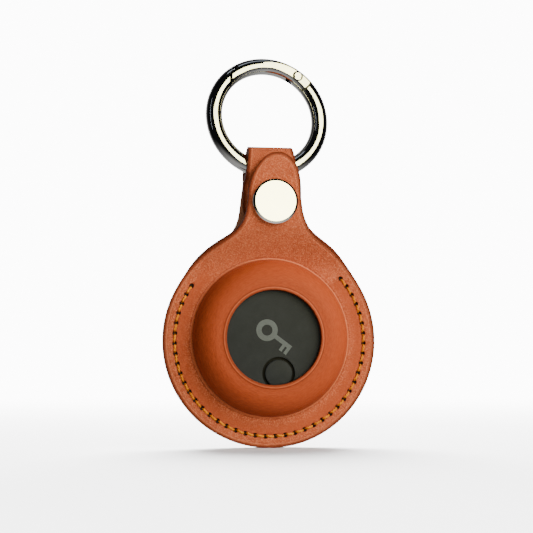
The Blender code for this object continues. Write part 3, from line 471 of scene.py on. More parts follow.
def grinding_tool(side):
    """The wire beyond a face that sinks towards the fork and is level about the rivet."""
    past_end = 3 * PIVOT_ANGLE - 2 * FLAT_END_ANGLE
    rows = []
    for degrees in np.linspace(TAPER_START_ANGLE, past_end, TAPER_STEPS):
        rise = max(0.0, degrees - FLAT_END_ANGLE) / (TAPER_START_ANGLE - FLAT_END_ANGLE)
        low = side * WIRE_R * (FLAT_SHARE + (TAPER_START_SHARE - FLAT_SHARE) * rise)
        high = side * 2 * WIRE_R
        near, far = polar(RING_R - 2 * WIRE_R, degrees), polar(RING_R + 2 * WIRE_R, degrees)
        corners = ((near, low), (far, low), (far, high), (near, high))
        rows.append([(x, depth, z) for (x, z), depth in corners])
    return solid(rows)


gate = wire_sector("gate", PIVOT_ANGLE - math.degrees((GATE_END_R + WIRE_R) / RING_R), NOSE_END_ANGLE)
gate.data.materials.append(gunmetal)
carve(gate, nose_tool(GATE_GAP, NOSE_END_ANGLE + NOSE_OVERRUN), material=joint_dark)
rounding = band(PIVOT, GATE_END_R, GATE_END_R + 2 * WIRE_R, away - END_CUT, away + END_CUT, 49, 9)
carve(gate, prism(rounding, -2 * WIRE_R, 2 * WIRE_R), material=joint_dark)
outline = arc(PIVOT, SLOT_END_R, away + 90.0, away + 270.0, 33)
reach = Vector(polar(GATE_END_R + WIRE_R, away))
outline += [tuple(Vector(outline[-1]) + reach), tuple(Vector(outline[0]) + reach)]
carve(gate, prism(outline, -LEAF_T / 2 - SLOT_PLAY, LEAF_T / 2 + SLOT_PLAY), material=joint_dark)
head_rim = disc(PIVOT, RIVET_HEAD_D / 2 + 3 * PIN_PLAY)
for side in (-1, 1):
    carve(gate, grinding_tool(side), material=gunmetal)
    carve(gate, prism(head_rim, side * LEAF_T, side * 2 * WIRE_R), material=joint_dark)
inward = Vector((*polar(1.0, away + 180.0), 0)).xzy
deep = Vector((0, 1, 0))
sideways = deep.cross(inward)
leaf_tip = Vector((PIVOT[0], 0, PIVOT[1])) + inward * LEAF_REACH
rows = [[leaf_tip + inward * run + sideways * c + deep * s for c, s in circle(BORE_R, BORE_SIDES)]
        for run in (0.0, BORE_DEPTH)]
carve(gate, solid(rows), material=joint_dark)
carve(gate, prism(disc(PIVOT, PIN_D / 2 + PIN_PLAY), -2 * WIRE_R, 2 * WIRE_R), material=joint_dark)
round_edges(gate, EDGE_BREAK)
seat(gate, RING_FRAME, sharp=GROUND_SHARP)
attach(gate, "gate")
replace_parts(gate, "ring_gate")


# Rivet
# A short steel rivet goes through the gate's fork and the ring's leaf, and is peened over to a
# low round head on each side.
RIVET_HEAD_T = 0.24
RIVET_FLAT_R = 0.8
CROWN_START = 0.8


def turned(name, profile, sides=96):
    """Turn a closed profile of (radius, depth) about Y; depth runs towards the front."""
    bm = bmesh.new()
    rings = []
    for radius, depth in profile:
        if radius == 0:
            rings.append([bm.verts.new((0, -depth, 0))] * sides)
        else:
            rings.append([bm.verts.new((x, -depth, z)) for x, z in disc((0, 0), radius, sides)])
    for ring_row, following in zip(rings, rings[1:] + rings[:1]):
        for i in range(sides):
            j = (i + 1) % sides
            corners = dict.fromkeys((ring_row[i], ring_row[j], following[j], following[i]))
            if len(corners) > 2:
                bm.faces.new(corners)
    mesh = bpy.data.meshes.new(name)
    bmesh.ops.recalc_face_normals(bm, faces=bm.faces)
    bm.to_mesh(mesh)
    bm.free()
    return link(name, mesh)


def at(matrix, x=0.0, y=0.0, z=0.0):
    """A frame moved by millimetres along its own axes."""
    return matrix @ Matrix.Translation(Vector((x, y, z)) * MM)


face = FLAT_SHARE * WIRE_R + PIN_PLAY
half_r = RIVET_HEAD_D / 2
crown = [(0, face + RIVET_HEAD_T), (RIVET_FLAT_R, face + RIVET_HEAD_T)]
crown += [(RIVET_FLAT_R + (half_r - RIVET_FLAT_R) * math.sin(t), face + RIVET_HEAD_T * math.cos(t))
          for t in np.linspace(CROWN_START, math.pi / 2, 6)]
profile = crown + [(PIN_D / 2, face), (PIN_D / 2, -face)] + [(r, -d) for r, d in reversed(crown)]
rivet = turned("gate_rivet", profile, sides=40)
seat(rivet, at(RING_FRAME, PIVOT[0], 0, PIVOT[1]), gunmetal, GROUND_SHARP)
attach(rivet, "ring")
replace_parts(rivet, "gate_pivot_pin")


# Gate spring
# A small coil of drawn steel wire sits in a bore of the gate and pushes against the leaf, so
# that the gate snaps shut.
SPRING_R = 0.54
SPRING_WIRE_R = 0.16
SPRING_L = 2.7
SPRING_TURNS = 4.5
SPRING_TURN_POINTS = 20
STEEL = (0.58, 0.57, 0.55, 1.0)
STEEL_DULL = (0.42, 0.41, 0.4, 1.0)


def tube(name, points, radius, sides=8):
    """A round tube along points, its sections square to the line between their neighbours."""
    rows = []
    count = len(points)
    normal = Vector((0, 0, 0))
    for i, point in enumerate(points):
        along = (Vector(points[min(i + 1, count - 1)]) - Vector(points[max(i - 1, 0)])).normalized()
        if i == 0:
            normal = along.orthogonal().normalized()
        normal = (normal - along * normal.dot(along)).normalized()
        other = along.cross(normal)
        rows.append([Vector(point) + (normal * c + other * s) for c, s in circle(radius, sides)])
    return solid(rows, name)


spring_steel = plated_metal("spring_steel", STEEL, STEEL_DULL, 0.25)
start = leaf_tip + inward * (SLOT_PLAY + SPRING_WIRE_R)
points = []
for share in np.linspace(0, 1, round(SPRING_TURNS * SPRING_TURN_POINTS)):
    turn = 2 * math.pi * SPRING_TURNS * share
    points.append(start + inward * SPRING_L * share
                  + (sideways * math.cos(turn) + deep * math.sin(turn)) * SPRING_R)
spring = tube("gate_coil", points, SPRING_WIRE_R)
seat(spring, RING_FRAME, spring_steel)
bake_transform(spring)
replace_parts(spring, "gate_spring")


# Back leather
# One piece of tan leather is the round back, the neck and the strap. The strap goes up through
# the ring, folds over it and comes down in front, where the rivet post holds its rounded end.
LEATHER_T = 1.38
BACK_FACE = 1.4
PANEL_R = 25.0
SHOULDER = 0.5
SHOULDER_HANDLE = 0.61
NECK_HANDLE = 0.38
NECK_W = 14.0
NECK_Z = 30.6
STRAP_W = 10.2
STRAP_TOP_Z = 45.7
LOOP_R = 3.285
LOOP_Z = 41.115
SNAP_X = 0.45
SNAP_Z = 32.0
LEG_START_Z = 35.5
LEG_HANDLE = 0.6
FOLD_STEP = 9
TONGUE_INSET = 0.5
LEATHER_STEP = 0.5
STRIP_COLUMNS = 65
DISTANCE_CHUNKS = 60
TAB_BOW_SHARE = 1.2
SEAM_R = 22.3
SEAM_START = 41.0
SEAM_END = -214.5
STITCHES = 42
HOLE_R = 0.48
HOLE_SIDES = 14
PUNCH_OVERRUN = 0.01
EDGE_ROUND = 0.42
GROOVE_HALF_W = 0.375
GROOVE_DEPTH = 0.67
GROOVE_STEPS = 130
POST_HOLE_R = 1.42
TAG_R = 16.0
TAG_FLAT_R = 12.5
WINDOW_R = 10.9
DOME_R = 18.1
FRONT_FADE = (-4.4, -3.4)
PEBBLE = 0.55
GRAIN_HEIGHT = 0.16
TAN = (0.43, 0.09, 0.03, 1.0)
TAN_DEEP = (0.35, 0.066, 0.02, 1.0)
TAN_LIGHT = (0.6, 0.17, 0.072, 1.0)
DOME_TAN = (0.36, 0.061, 0.017, 1.0)
DOME_FIBRE_AND_TOP_SHADE = (0.27, 0.041, 0.01, 1.0)
EDGE_PAINT_AND_SHADE = (0.105, 0.017, 0.005, 1.0)
HOLE_SHADE_BLACK = (0.02, 0.006, 0.004, 1.0)
LINING = (0.3, 0.105, 0.045, 1.0)
LINING_DARK = (0.21, 0.065, 0.025, 1.0)


def bezier(start, first, second, end, count):
    """Points on a cubic curve from start to end."""
    points = []
    for t in np.linspace(0, 1, count):
        u = 1 - t
        points.append(start * u ** 3 + first * 3 * u * u * t + second * 3 * u * t * t + end * t ** 3)
    return points


def leather_side():
    """Right edge of the cut leather as (half width, height), from the bottom to the strap's top."""
    turns = np.linspace(-math.pi / 2, SHOULDER, 160)
    points = [(PANEL_R * math.cos(t), PANEL_R * math.sin(t)) for t in turns]
    start, end = Vector(points[-1]), Vector((NECK_W / 2, NECK_Z))
    leave = Vector((-math.sin(SHOULDER), math.cos(SHOULDER)))
    taper = Vector(((STRAP_W - NECK_W) / 2, STRAP_TOP_Z - NECK_Z))
    first = start + leave * SHOULDER_HANDLE * PANEL_R
    second = end - taper.normalized() * NECK_HANDLE * PANEL_R
    points += [tuple(point) for point in bezier(start, first, second, end, 60)[1:]]
    points.append((STRAP_W / 2, STRAP_TOP_Z))
    return np.array(points)


SIDE = leather_side()


def half_width(z):
    return float(np.interp(z, SIDE[:, 1], SIDE[:, 0]))


def tab_half_width(z):
    """The strap's end narrows to a half round about the snap."""
    radius = half_width(SNAP_Z) - TONGUE_INSET
    return math.sqrt(max(radius ** 2 - min(max(SNAP_Z - z, 0.0), radius) ** 2, 0.0))


def strap_path():
    """The back leather's outer face as (depth, height, half width), from the disc's edge band up,
    over the ring and down to the tab's round end."""
    heights = np.arange(-PANEL_R * math.sqrt(0.5), LEG_START_Z, LEATHER_STEP)
    path = [(BACK_FACE, z, half_width(z)) for z in heights]
    radius = LOOP_R + LEATHER_T / 2
    start, end = Vector((BACK_FACE - LEATHER_T / 2, LEG_START_Z)), Vector((radius, LOOP_Z))
    handle = Vector((0, (LOOP_Z - LEG_START_Z) * LEG_HANDLE))
    leg = bezier(start, start + handle, end - handle, end, 14)
    turns = (polar(radius, degrees) for degrees in range(FOLD_STEP, 180, FOLD_STEP))
    fold = [Vector((y, LOOP_Z + z)) for y, z in turns]
    line = leg + fold + [Vector((-p.x, p.y)) for p in reversed(leg)]
    for i, point in enumerate(line):
        along = line[min(i + 1, len(line) - 1)] - line[max(i - 1, 0)]
        out = Vector((along.y, -along.x)).normalized() * LEATHER_T / 2
        path.append((point.x + out.x, point.y + out.y, half_width(point.y)))
    tab_end = SNAP_Z - tab_half_width(SNAP_Z) * math.sqrt(0.5)
    heights = [*np.arange(LEG_START_Z - LEATHER_STEP, tab_end, -LEATHER_STEP), tab_end]
    return path + [(-BACK_FACE, z, tab_half_width(z)) for z in heights]


def store(mesh, name, kind, values):
    """Keep a value for each point of a mesh, for its material to read."""
    layer = mesh.attributes.new(name, kind, "POINT")
    layer.data.foreach_set("vector" if kind == "FLOAT_VECTOR" else "value",
                           np.asarray(values, np.float32).ravel())


def back_rows(path):
    """Grid over the strip; its first and last rows bow out to the disc's and the tab's round ends."""
    rows, flat = [], []
    tab_r = tab_half_width(SNAP_Z)
    run = [0.0]
    for before, after in zip(path, path[1:]):
        run.append(run[-1] + math.hypot(after[0] - before[0], after[1] - before[1]))
    for (y, z, half), length in zip(path, run):
        low = max(0.0, 1 - length / PANEL_R) ** 2
        high = max(0.0, 1 - (run[-1] - length) / (tab_r * TAB_BOW_SHARE)) ** 2
        row, marks = [], []
        for share in np.linspace(-1, 1, STRIP_COLUMNS):
            turn = share * math.pi / 4
            dip_x = PANEL_R * math.sin(turn) - path[0][2] * share
            dip_z = PANEL_R * (math.sqrt(0.5) - math.cos(turn))
            end_x = tab_r * math.sin(turn) - path[-1][2] * share
            end_z = tab_r * (math.sqrt(0.5) - math.cos(turn))
            x = half * share + low * dip_x + high * end_x
            row.append((x, y, z + low * dip_z + high * end_z))
            marks.append((x, 0.0, length + low * dip_z - high * end_z))
        rows.append(row)
        flat.append(marks)
    return rows, flat


def border_distance(points, border):
    """Distance of each point from the nearest point of a border, in millimetres."""
    nearest = []
    for chunk in np.array_split(points, DISTANCE_CHUNKS):
        nearest.append(np.sqrt(((chunk[:, None] - border[None]) ** 2).sum(-1)).min(1))
    return np.concatenate(nearest)


def punch_holes(obj, low, high):
    """The seam's holes, all cut by one tool."""
    bm = bmesh.new()
    for degrees in np.linspace(SEAM_START, SEAM_END, STITCHES + 1):
        outline = disc(polar(SEAM_R, degrees), HOLE_R, HOLE_SIDES)
        ends = [[bm.verts.new((x, depth, z)) for x, z in outline] for depth in (low, high)]
        for end in ends:
            bm.faces.new(end)
        for i in range(len(outline)):
            j = (i + 1) % len(outline)
            bm.faces.new((ends[0][i], ends[0][j], ends[1][j], ends[1][i]))
    bmesh.ops.recalc_face_normals(bm, faces=bm.faces)
    mesh = bpy.data.meshes.new("punch")
    bm.to_mesh(mesh)
    bm.free()
    carve(obj, link("punch", mesh))


def keep_rest_place(obj):
    """Store where each point lies at rest, so that the finish stays put where the leather bends."""
    store(obj.data, "rest_place", "FLOAT_VECTOR", [tuple(vertex.co) for vertex in obj.data.vertices])


def grain_material():
    """Tan leather: pebbled grain, a painted edge, and the pressed dome's darker, drawn skin, with painted
    highlights and painted shade at its creases, its window, its edges and its seam.
    """
    material, place = new_material("tan_leather", {"IOR": 1.45, "Specular IOR Level": 0.06})
    cut = place.attribute("cut_place", 1)
    rest = place.attribute("rest_place", 1)
    rim = place.attribute("edge", 2)
    cells = cut.vector("MULTIPLY", (1 / (PEBBLE * MM),) * 3).vector("ADD", cut.noise(0.9))
    pebble = cells.node("ShaderNodeTexVoronoi", {"feature": "SMOOTH_F1"},
                        {"Vector": cells, "Smoothness": 0.5})
    pores = cut.noise(0.3, 3.0, 0.65)
    cloud = cut.noise(6.0, 3.0, 0.55)
    patch = cut.noise(1.0, 3.0, 0.65)

    from_tag = rest.around(TAG_PLACE)
    reach = from_tag.length() / MM
    drawn = place.node("ShaderNodeCombineXYZ", {}, {0: from_tag.turn() * 12.0, 1: reach * 4.2})
    fibre = place.node("ShaderNodeTexNoise", {},
                       {"Vector": drawn, "Scale": 1.0, "Detail": 2.0, "Roughness": 0.6})
    front = 1 - rest.part(1).ramp(FRONT_FADE[0] * MM, FRONT_FADE[1] * MM)
    dome = (1 - reach.ramp(DOME_R - 0.2, DOME_R + 0.2)) * front
    # Painted shade: the dome's top, near the window, is painted darker to even out the light it gets.
    top = (1 - reach.ramp(TAG_FLAT_R - 0.5, TAG_R + 0.5)) * front
    # Painted highlight: a light line on the dome's foot; painted shade: the fold's dark lines on either
    # side of it.
    crease_highlight = reach.line(DOME_R + 0.4, 0.26) * front
    fold = (reach.line(DOME_R + 0.05, 0.2) + reach.line(DOME_R + 0.8, 0.2)) * front
    # The window's cut edge is dark with real edge paint and with painted shade on its inner wall; the dark
    # line round it is painted shade of a crease, and shine is a painted highlight.
    lip = (reach.line(WINDOW_R + 0.85, 0.16) + reach.line(WINDOW_R - 0.05, 0.5)) * front
    shine = reach.line(WINDOW_R + 0.55, 0.16) * front

    from_middle = rest.around(POUCH_PLACE)
    round_reach = from_middle.length() / MM
    per_turn = 2 * math.pi * STITCHES / math.radians(SEAM_START - SEAM_END)
    count = (math.radians(SEAM_START) - from_middle.turn() + 4 * math.pi) * (per_turn / (2 * math.pi))
    count = count.math("MODULO", count, per_turn)
    along = abs(count - count.math("ROUND", count)) * (2 * math.pi * SEAM_R / per_turn)
    off = along.math("SQRT", along ** 2.0 + abs(round_reach - SEAM_R) ** 2.0)
    on_seam = 1 - count.ramp(STITCHES + 0.4, STITCHES + 0.6)
    # Painted shade: near black in and round every stitch hole, where the deep hole lies in shade.
    hole_shade = (1 - off.ramp(HOLE_R - 0.01, HOLE_R + 0.18)) * on_seam
    # Painted shade: the leather is darker along the sunk line of the seam.
    sunk_shade = round_reach.line(SEAM_R, 0.8) * on_seam
    inside = round_reach.ramp(DOME_R + 0.7, DOME_R + 2.7) - round_reach.ramp(SEAM_R - 0.2, SEAM_R + 0.4)
    inside = inside * (1 - count.ramp(STITCHES + 0.5, STITCHES + 3.5)) * front

    colour = (cloud * 0.35 + patch * 0.3 + pores * 0.35).ramp(0.38, 0.6).mix(TAN_DEEP, TAN)
    colour = (pores.ramp(0.46, 0.64) * 0.65).mix(colour, TAN_LIGHT)
    colour = (inside * 0.7).mix(colour, DOME_TAN)
    # The dome's skin is darker where its fibres are drawn, and has painted shade on its top.
    skin = (top * 0.5 + fibre.ramp(0.35, 0.65) * 0.5).mix(DOME_TAN, DOME_FIBRE_AND_TOP_SHADE)
    colour = dome.mix(colour, skin)
    # Painted highlight: a light line on the raised edge just inside the border.
    colour = ((rim.ramp(0.5, 0.8) - rim.ramp(0.8, 1.3)) * 0.35).mix(colour, TAN_LIGHT)
    # Painted highlights on the dome's foot and round the window.
    colour = (crease_highlight * 0.8 + shine * 0.4).mix(colour, TAN_LIGHT)
    # Painted shade at the dome's foot, round the window and along the seam; the window's cut edge also has
    # its real edge paint.
    colour = (fold * 0.4 + lip * 0.8 + sunk_shade * 0.15).mix(colour, EDGE_PAINT_AND_SHADE)
    colour = ((1 - rim.ramp(0.2, 1.0)) * 0.92).mix(colour, EDGE_PAINT_AND_SHADE)
    height = (pebble * 0.6 + pores * 0.4) * (1 - dome * 0.7)
    height = height + fibre * dome * 0.35 - rim.line(0.95, 0.25) * 0.5
    return feed(material, Base_Color=hole_shade.mix(colour, HOLE_SHADE_BLACK),
                Roughness=0.5 - dome * 0.06 + pebble * 0.12 + patch * 0.08,
                Normal=height.bump(GRAIN_HEIGHT))


def lining_material():
    """The leather's inner side: a short matt nap."""
    material, place = new_material("leather_lining", {"Sheen Weight": 0.25, "Sheen Roughness": 0.6})
    cut = place.attribute("cut_place", 1)
    nap = cut.noise(0.14, 4.0, 0.7)
    tuft = cut.noise(1.6, 3.0)
    return feed(material, Base_Color=(nap * 0.5 + tuft * 0.5).ramp(0.35, 0.65).mix(LINING_DARK, LINING),
                Roughness=0.86 + nap * 0.1, Normal=nap.bump(0.05))


def edge_material():
    """The cut edge, painted dark and burnished, with the layers faintly showing."""
    material, place = new_material("painted_edge", {"Specular IOR Level": 0.01})
    streak = place.noise(0.35, 3.0, 0.6)
    return feed(material, Base_Color=(streak.ramp(0.4, 0.9) * 0.5).mix(EDGE_PAINT_AND_SHADE, TAN_DEEP),
                Roughness=0.38 + streak * 0.2, Normal=streak.bump(0.03))


def finish_leather(obj):
    """Give a leather face its thickness, rounded painted edges and its three finishes."""
    for material in (tan_leather, leather_lining, painted_edge):
        obj.data.materials.append(material)
    wall = obj.modifiers.new("leather", "SOLIDIFY")
    wall.thickness = LEATHER_T
    wall.offset = -1.0
    wall.use_even_offset = True
    wall.material_offset = 1
    wall.material_offset_rim = 2
    round_edges(obj, EDGE_ROUND, segments=3, angle=60.0)


tan_leather = grain_material()
leather_lining = lining_material()
painted_edge = edge_material()
POUCH_FRAME = Matrix.Translation(POUCH_PLACE)
rows, flat = back_rows(strap_path())
back_leather = grid_object("back_leather", rows)
if back_leather.data.polygons[0].normal.y < 0:
    back_leather.data.flip_normals()
store(back_leather.data, "cut_place", "FLOAT_VECTOR", np.array(flat).reshape(-1, 3) * MM)
grid = np.array(flat)[:, :, [0, 2]]
border = np.concatenate([grid[0], grid[-1], grid[:, 0], grid[:, -1]])
store(back_leather.data, "edge", "FLOAT", border_distance(grid.reshape(-1, 2), border))
finish_leather(back_leather)
carve(back_leather, prism(disc((SNAP_X, SNAP_Z), POST_HOLE_R), -4 * BACK_FACE, 4 * BACK_FACE))
punch_holes(back_leather, -PUNCH_OVERRUN, 2 * BACK_FACE)
groove = band((0, 0), SEAM_R - GROOVE_HALF_W, SEAM_R + GROOVE_HALF_W, SEAM_START, SEAM_END,
              GROOVE_STEPS, GROOVE_STEPS)
carve(back_leather, prism(groove, BACK_FACE - GROOVE_DEPTH, 2 * BACK_FACE))
seat(back_leather, POUCH_FRAME)
keep_rest_place(back_leather)
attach(back_leather, "pouch")
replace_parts(back_leather, "back_panel")


# Front leather
# The front is one piece of the same leather. Its round part is wet-pressed over the tag to a
# dome with a round window, and its tongue rises over the folded strap and snaps onto it.
RIM_DEPTH = 8.5
RIM_LIFT = 0.25
DOME_ARC = 68.0
FOOT_W = 0.35
FOOT_SHARE = 0.15
RISE_START_Z = 15.0
RISE_END_Z = 28.5
RISE = 5.1
FLEX_Z = 21.5
TAPER_Z = 33.0
TIP_Z = 43.7
TIP_POWER = 2.15
TIP_ASIDE = 0.75
FLANGE_ROWS = 30
OUTLINE_STEP = 0.5
SEAM_SINK = 0.1
SINK_HALF_W = 0.45
BARREL_HOLE_R = 1.32


def smooth_step(value):
    value = min(max(value, 0.0), 1.0)
    return value * value * (3 - 2 * value)


def front_outline():
    """The front leather's border as (x, z), evenly spaced, from the bottom and anticlockwise."""
    right = [tuple(p) for p in SIDE if p[1] <= FLEX_Z]
    for z in np.arange(FLEX_Z, TAPER_Z, OUTLINE_STEP / 2):
        inset = TONGUE_INSET * smooth_step((z - FLEX_Z) / (NECK_Z - FLEX_Z))
        right.append((half_width(z) - inset, z))
    wide, tall = half_width(TAPER_Z) - TONGUE_INSET, TIP_Z - TAPER_Z
    for t in np.linspace(0, math.pi / 2, 60):
        power = 2 / TIP_POWER
        right.append((wide * max(math.cos(t), 0.0) ** power, TAPER_Z + tall * math.sin(t) ** power))
    right = np.array(right)
    run = np.concatenate([[0], np.cumsum(np.hypot(*np.diff(right, axis=0).T))])
    even = np.linspace(0, run[-1], round(run[-1] / OUTLINE_STEP))
    xs, zs = np.interp(even, run, right[:, 0]), np.interp(even, run, right[:, 1])
    left = [(-x, z) for x, z in zip(xs[-2:0:-1], zs[-2:0:-1])]
    return list(zip(xs, zs)) + left


def dome_profile():
    """The dome's outer face as (radius, depth), from the window's edge out to the flange."""
    wide, high = DOME_R - TAG_FLAT_R, RIM_DEPTH - BACK_FACE
    profile = [(r, RIM_DEPTH + RIM_LIFT * smooth_step((TAG_FLAT_R - r) / (TAG_FLAT_R - WINDOW_R)))
               for r in np.linspace(WINDOW_R, TAG_FLAT_R, 7)[:-1]]
    for degrees in np.linspace(0, DOME_ARC, 20):
        across, up = polar(1.0, 90.0 - degrees)
        profile.append((TAG_FLAT_R + wide * across, BACK_FACE + high * up))
    foot_r, foot_depth = profile[-1]
    corner = foot_r + (foot_depth - BACK_FACE) * wide / high / math.tan(math.radians(DOME_ARC))
    near = corner + (foot_r - corner) * FOOT_SHARE
    near_depth = BACK_FACE + (foot_depth - BACK_FACE) * FOOT_SHARE
    profile.append(((foot_r + near) / 2, (foot_depth + near_depth) / 2))
    for t in np.linspace(0, 1, 9):
        u = 1 - t
        radius = near * u * u + corner * 2 * u * t + (corner + FOOT_W) * t * t
        profile.append((radius, BACK_FACE + (near_depth - BACK_FACE) * u * u))
    return profile


def front_rows():
    """Points from the window out to the border, one row for each point of the border."""
    profile = dome_profile()
    foot_r = profile[-1][0]
    rows = []
    for x, z in front_outline():
        reach = math.hypot(x, z - DOME_Z)
        across, up = x / reach, (z - DOME_Z) / reach
        places = profile + [(r, BACK_FACE) for r in np.linspace(foot_r, reach, FLANGE_ROWS)[1:]]
        row = []
        for radius, depth in places:
            px, pz = radius * across, DOME_Z + radius * up
            low = 1 - (depth - BACK_FACE) / (RIM_DEPTH - BACK_FACE)
            raised = smooth_step((pz - RISE_START_Z) / (RISE_END_Z - RISE_START_Z))
            lift = RISE * raised * low
            turn = (SEAM_START - math.degrees(math.atan2(pz, px))) % 360.0
            off = (math.hypot(px, pz) - SEAM_R) / SINK_HALF_W
            sink = SEAM_SINK * math.exp(-off * off) if turn <= SEAM_START - SEAM_END else 0.0
            aside = SNAP_X * raised + TIP_ASIDE * smooth_step((pz - TAPER_Z) / (TIP_Z - TAPER_Z))
            row.append((px + aside, -depth - lift + sink, pz))
        rows.append(row)
    return rows


rows = front_rows()
front_leather = grid_object("front_leather", rows, wrap_rows=True)
if front_leather.data.polygons[0].normal.y > 0:
    front_leather.data.flip_normals()
places = np.array(rows)
store(front_leather.data, "cut_place", "FLOAT_VECTOR", places.reshape(-1, 3) * MM)
store(front_leather.data, "edge", "FLOAT",
      border_distance(places.reshape(-1, 3)[:, [0, 2]], places[:, -1][:, [0, 2]]))
finish_leather(front_leather)
punch_holes(front_leather, -2 * BACK_FACE, PUNCH_OVERRUN)
carve(front_leather, prism(disc((SNAP_X, SNAP_Z), BARREL_HOLE_R), -3 * RISE, -1.5 * BACK_FACE))
seat(front_leather, POUCH_FRAME)
keep_rest_place(front_leather)
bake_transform(front_leather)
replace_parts(front_leather, "front_panel", "front_tongue")


# Seam
# Golden brown thread of two twisted plies joins the leathers round the lower part. Each stitch
# lies between two punched holes and dips into both; a second thread lies in the back's groove.
THREAD_R = 0.22
PLY_R = 0.165
STITCH_SPAN = 1.78
PLUG_R = 0.51
PLUG_L = 0.5
THREAD_DIP = 1.0
FRONT_LIE = 1.5
BACK_LIE = 1.06
SLANT = 7.0
STITCH_POINTS = 13
STITCH_TWISTS = 1.3
STITCH_LOOSE = 0.04
PLY_SIDES = 6
PLUG_SIDES = 8
STITCH_SIZES = ("Seam Radius", "Start", "Step", "Span", "Twist Radius", "Ply Radius", "Lie", "Dip",
                "Side", "Slant", "Plug Radius", "Plug Length")
THREAD_GOLD = (0.72, 0.225, 0.003, 1.0)
THREAD_BROWN = (0.4, 0.1, 0.002, 1.0)
SHADED_THREAD_BROWN = (0.03, 0.009, 0.004, 1.0)


def thread_material(name, colour, deep):
    """Waxed thread: bright ply crowns, dark between the fibres."""
    material, place = new_material(name, {"Specular IOR Level": 0.1})
    fibre = place.noise(0.09, 3.0, 0.6)
    dye = place.noise(2.5)
    return feed(material, Base_Color=(fibre * 0.6 + dye * 0.4).ramp(0.3, 0.6).mix(deep, colour),
                Roughness=0.5 + fibre * 0.2, Normal=fibre.bump(0.03))


def stitch_tree():
    """Stitches along an arc, each two twisted plies that dip at both ends, and a plug in every hole."""
    tree = bpy.data.node_groups.new("seam_stitches", "GeometryNodeTree")
    for kind, names in (("Float", STITCH_SIZES), ("Int", ("Count", "Seed")),
                        ("Material", ("Material", "Plug Material"))):
        for name in names:
            tree.interface.new_socket(name, in_out="INPUT", socket_type="NodeSocket" + kind)
    tree.interface.new_socket("Mesh", in_out="OUTPUT", socket_type="NodeSocketGeometry")
    given = tree.nodes.new("NodeGroupInput").outputs
    size = {socket.name: Value(socket) for socket in given if socket.name}
    add = size["Count"].node
    half = size["Span"] * 0.5
    ends = [add("ShaderNodeCombineXYZ", {}, {0: half * sign}) for sign in (-1.0, 1.0)]
    line = add("GeometryNodeCurvePrimitiveLine", {}, {"Start": ends[0], "End": ends[1]})
    line = add("GeometryNodeResampleCurve", {}, {"Curve": line, "Count": STITCH_POINTS})
    along = add("GeometryNodeSplineParameter")
    bow = abs(along * 2.0 - 1.0) ** 5.0
    section = add("GeometryNodeCurvePrimitiveCircle", {}, {
        "Resolution": PLY_SIDES, "Radius": size["Ply Radius"]})
    coil_r = size["Twist Radius"] * 0.6
    plies = []
    for phase in (0.0, math.pi):
        twist = along * (2 * math.pi * STITCH_TWISTS) + phase
        deep = size["Lie"] - bow * size["Dip"] + coil_r * twist.math("COSINE", twist)
        offset = add("ShaderNodeCombineXYZ", {}, {
            1: deep * size["Side"], 2: coil_r * twist.math("SINE", twist)})
        bent = add("GeometryNodeSetPosition", {}, {"Geometry": line, "Offset": offset})
        plies.append(add("GeometryNodeCurveToMesh", {}, {
            "Curve": bent, "Profile Curve": section, "Fill Caps": True}))

    def join(first, second):
        joined = add("GeometryNodeJoinGeometry", {}, {"Geometry": first})
        tree.links.new(second.socket, joined.socket.node.inputs["Geometry"])
        return joined

    stitch = add("GeometryNodeSetMaterial", {}, {"Geometry": join(*plies), "Material": size["Material"]})

    def seam_place(angle, depth):
        """A place on the seam at an angle from the right and a depth."""
        return add("ShaderNodeCombineXYZ", {}, {
            0: size["Seam Radius"] * angle.math("COSINE", angle), 1: depth,
            2: size["Seam Radius"] * angle.math("SINE", angle)})

    index = add("GeometryNodeInputIndex")
    angle = size["Start"] + (index + 0.5) * size["Step"]
    points = add("GeometryNodePoints", {}, {"Count": size["Count"], "Position": seam_place(angle, 0.0)})
    loose = add("FunctionNodeRandomValue", {"data_type": "FLOAT"},
                {2: -STITCH_LOOSE, 3: STITCH_LOOSE, "Seed": size["Seed"]}, 1)
    euler = add("ShaderNodeCombineXYZ", {}, {1: size["Slant"] + loose - angle - math.pi / 2})
    turn = add("FunctionNodeEulerToRotation", {}, {0: euler})
    seam = add("GeometryNodeInstanceOnPoints", {}, {"Points": points, "Instance": stitch, "Rotation": turn})
    place = seam_place(size["Start"] + index * size["Step"], size["Side"] * size["Plug Length"] * 0.5)
    holes = add("GeometryNodePoints", {}, {"Count": size["Count"] + 1, "Position": place})
    rod = add("GeometryNodeMeshCylinder", {}, {
        "Vertices": PLUG_SIDES, "Radius": size["Plug Radius"], "Depth": size["Plug Length"]})
    rod = add("GeometryNodeSetMaterial", {}, {"Geometry": rod, "Material": size["Plug Material"]})
    upright = add("FunctionNodeEulerToRotation", {}, {0: (math.pi / 2, 0, 0)})
    rods = add("GeometryNodeInstanceOnPoints", {}, {"Points": holes, "Instance": rod, "Rotation": upright})
    seam = add("GeometryNodeRealizeInstances", {}, {"Geometry": join(seam, rods)})
    seam = add("GeometryNodeSetShadeSmooth", {}, {"Geometry": seam})
    tree.links.new(seam.socket, tree.nodes.new("NodeGroupOutput").inputs["Mesh"])
    return tree


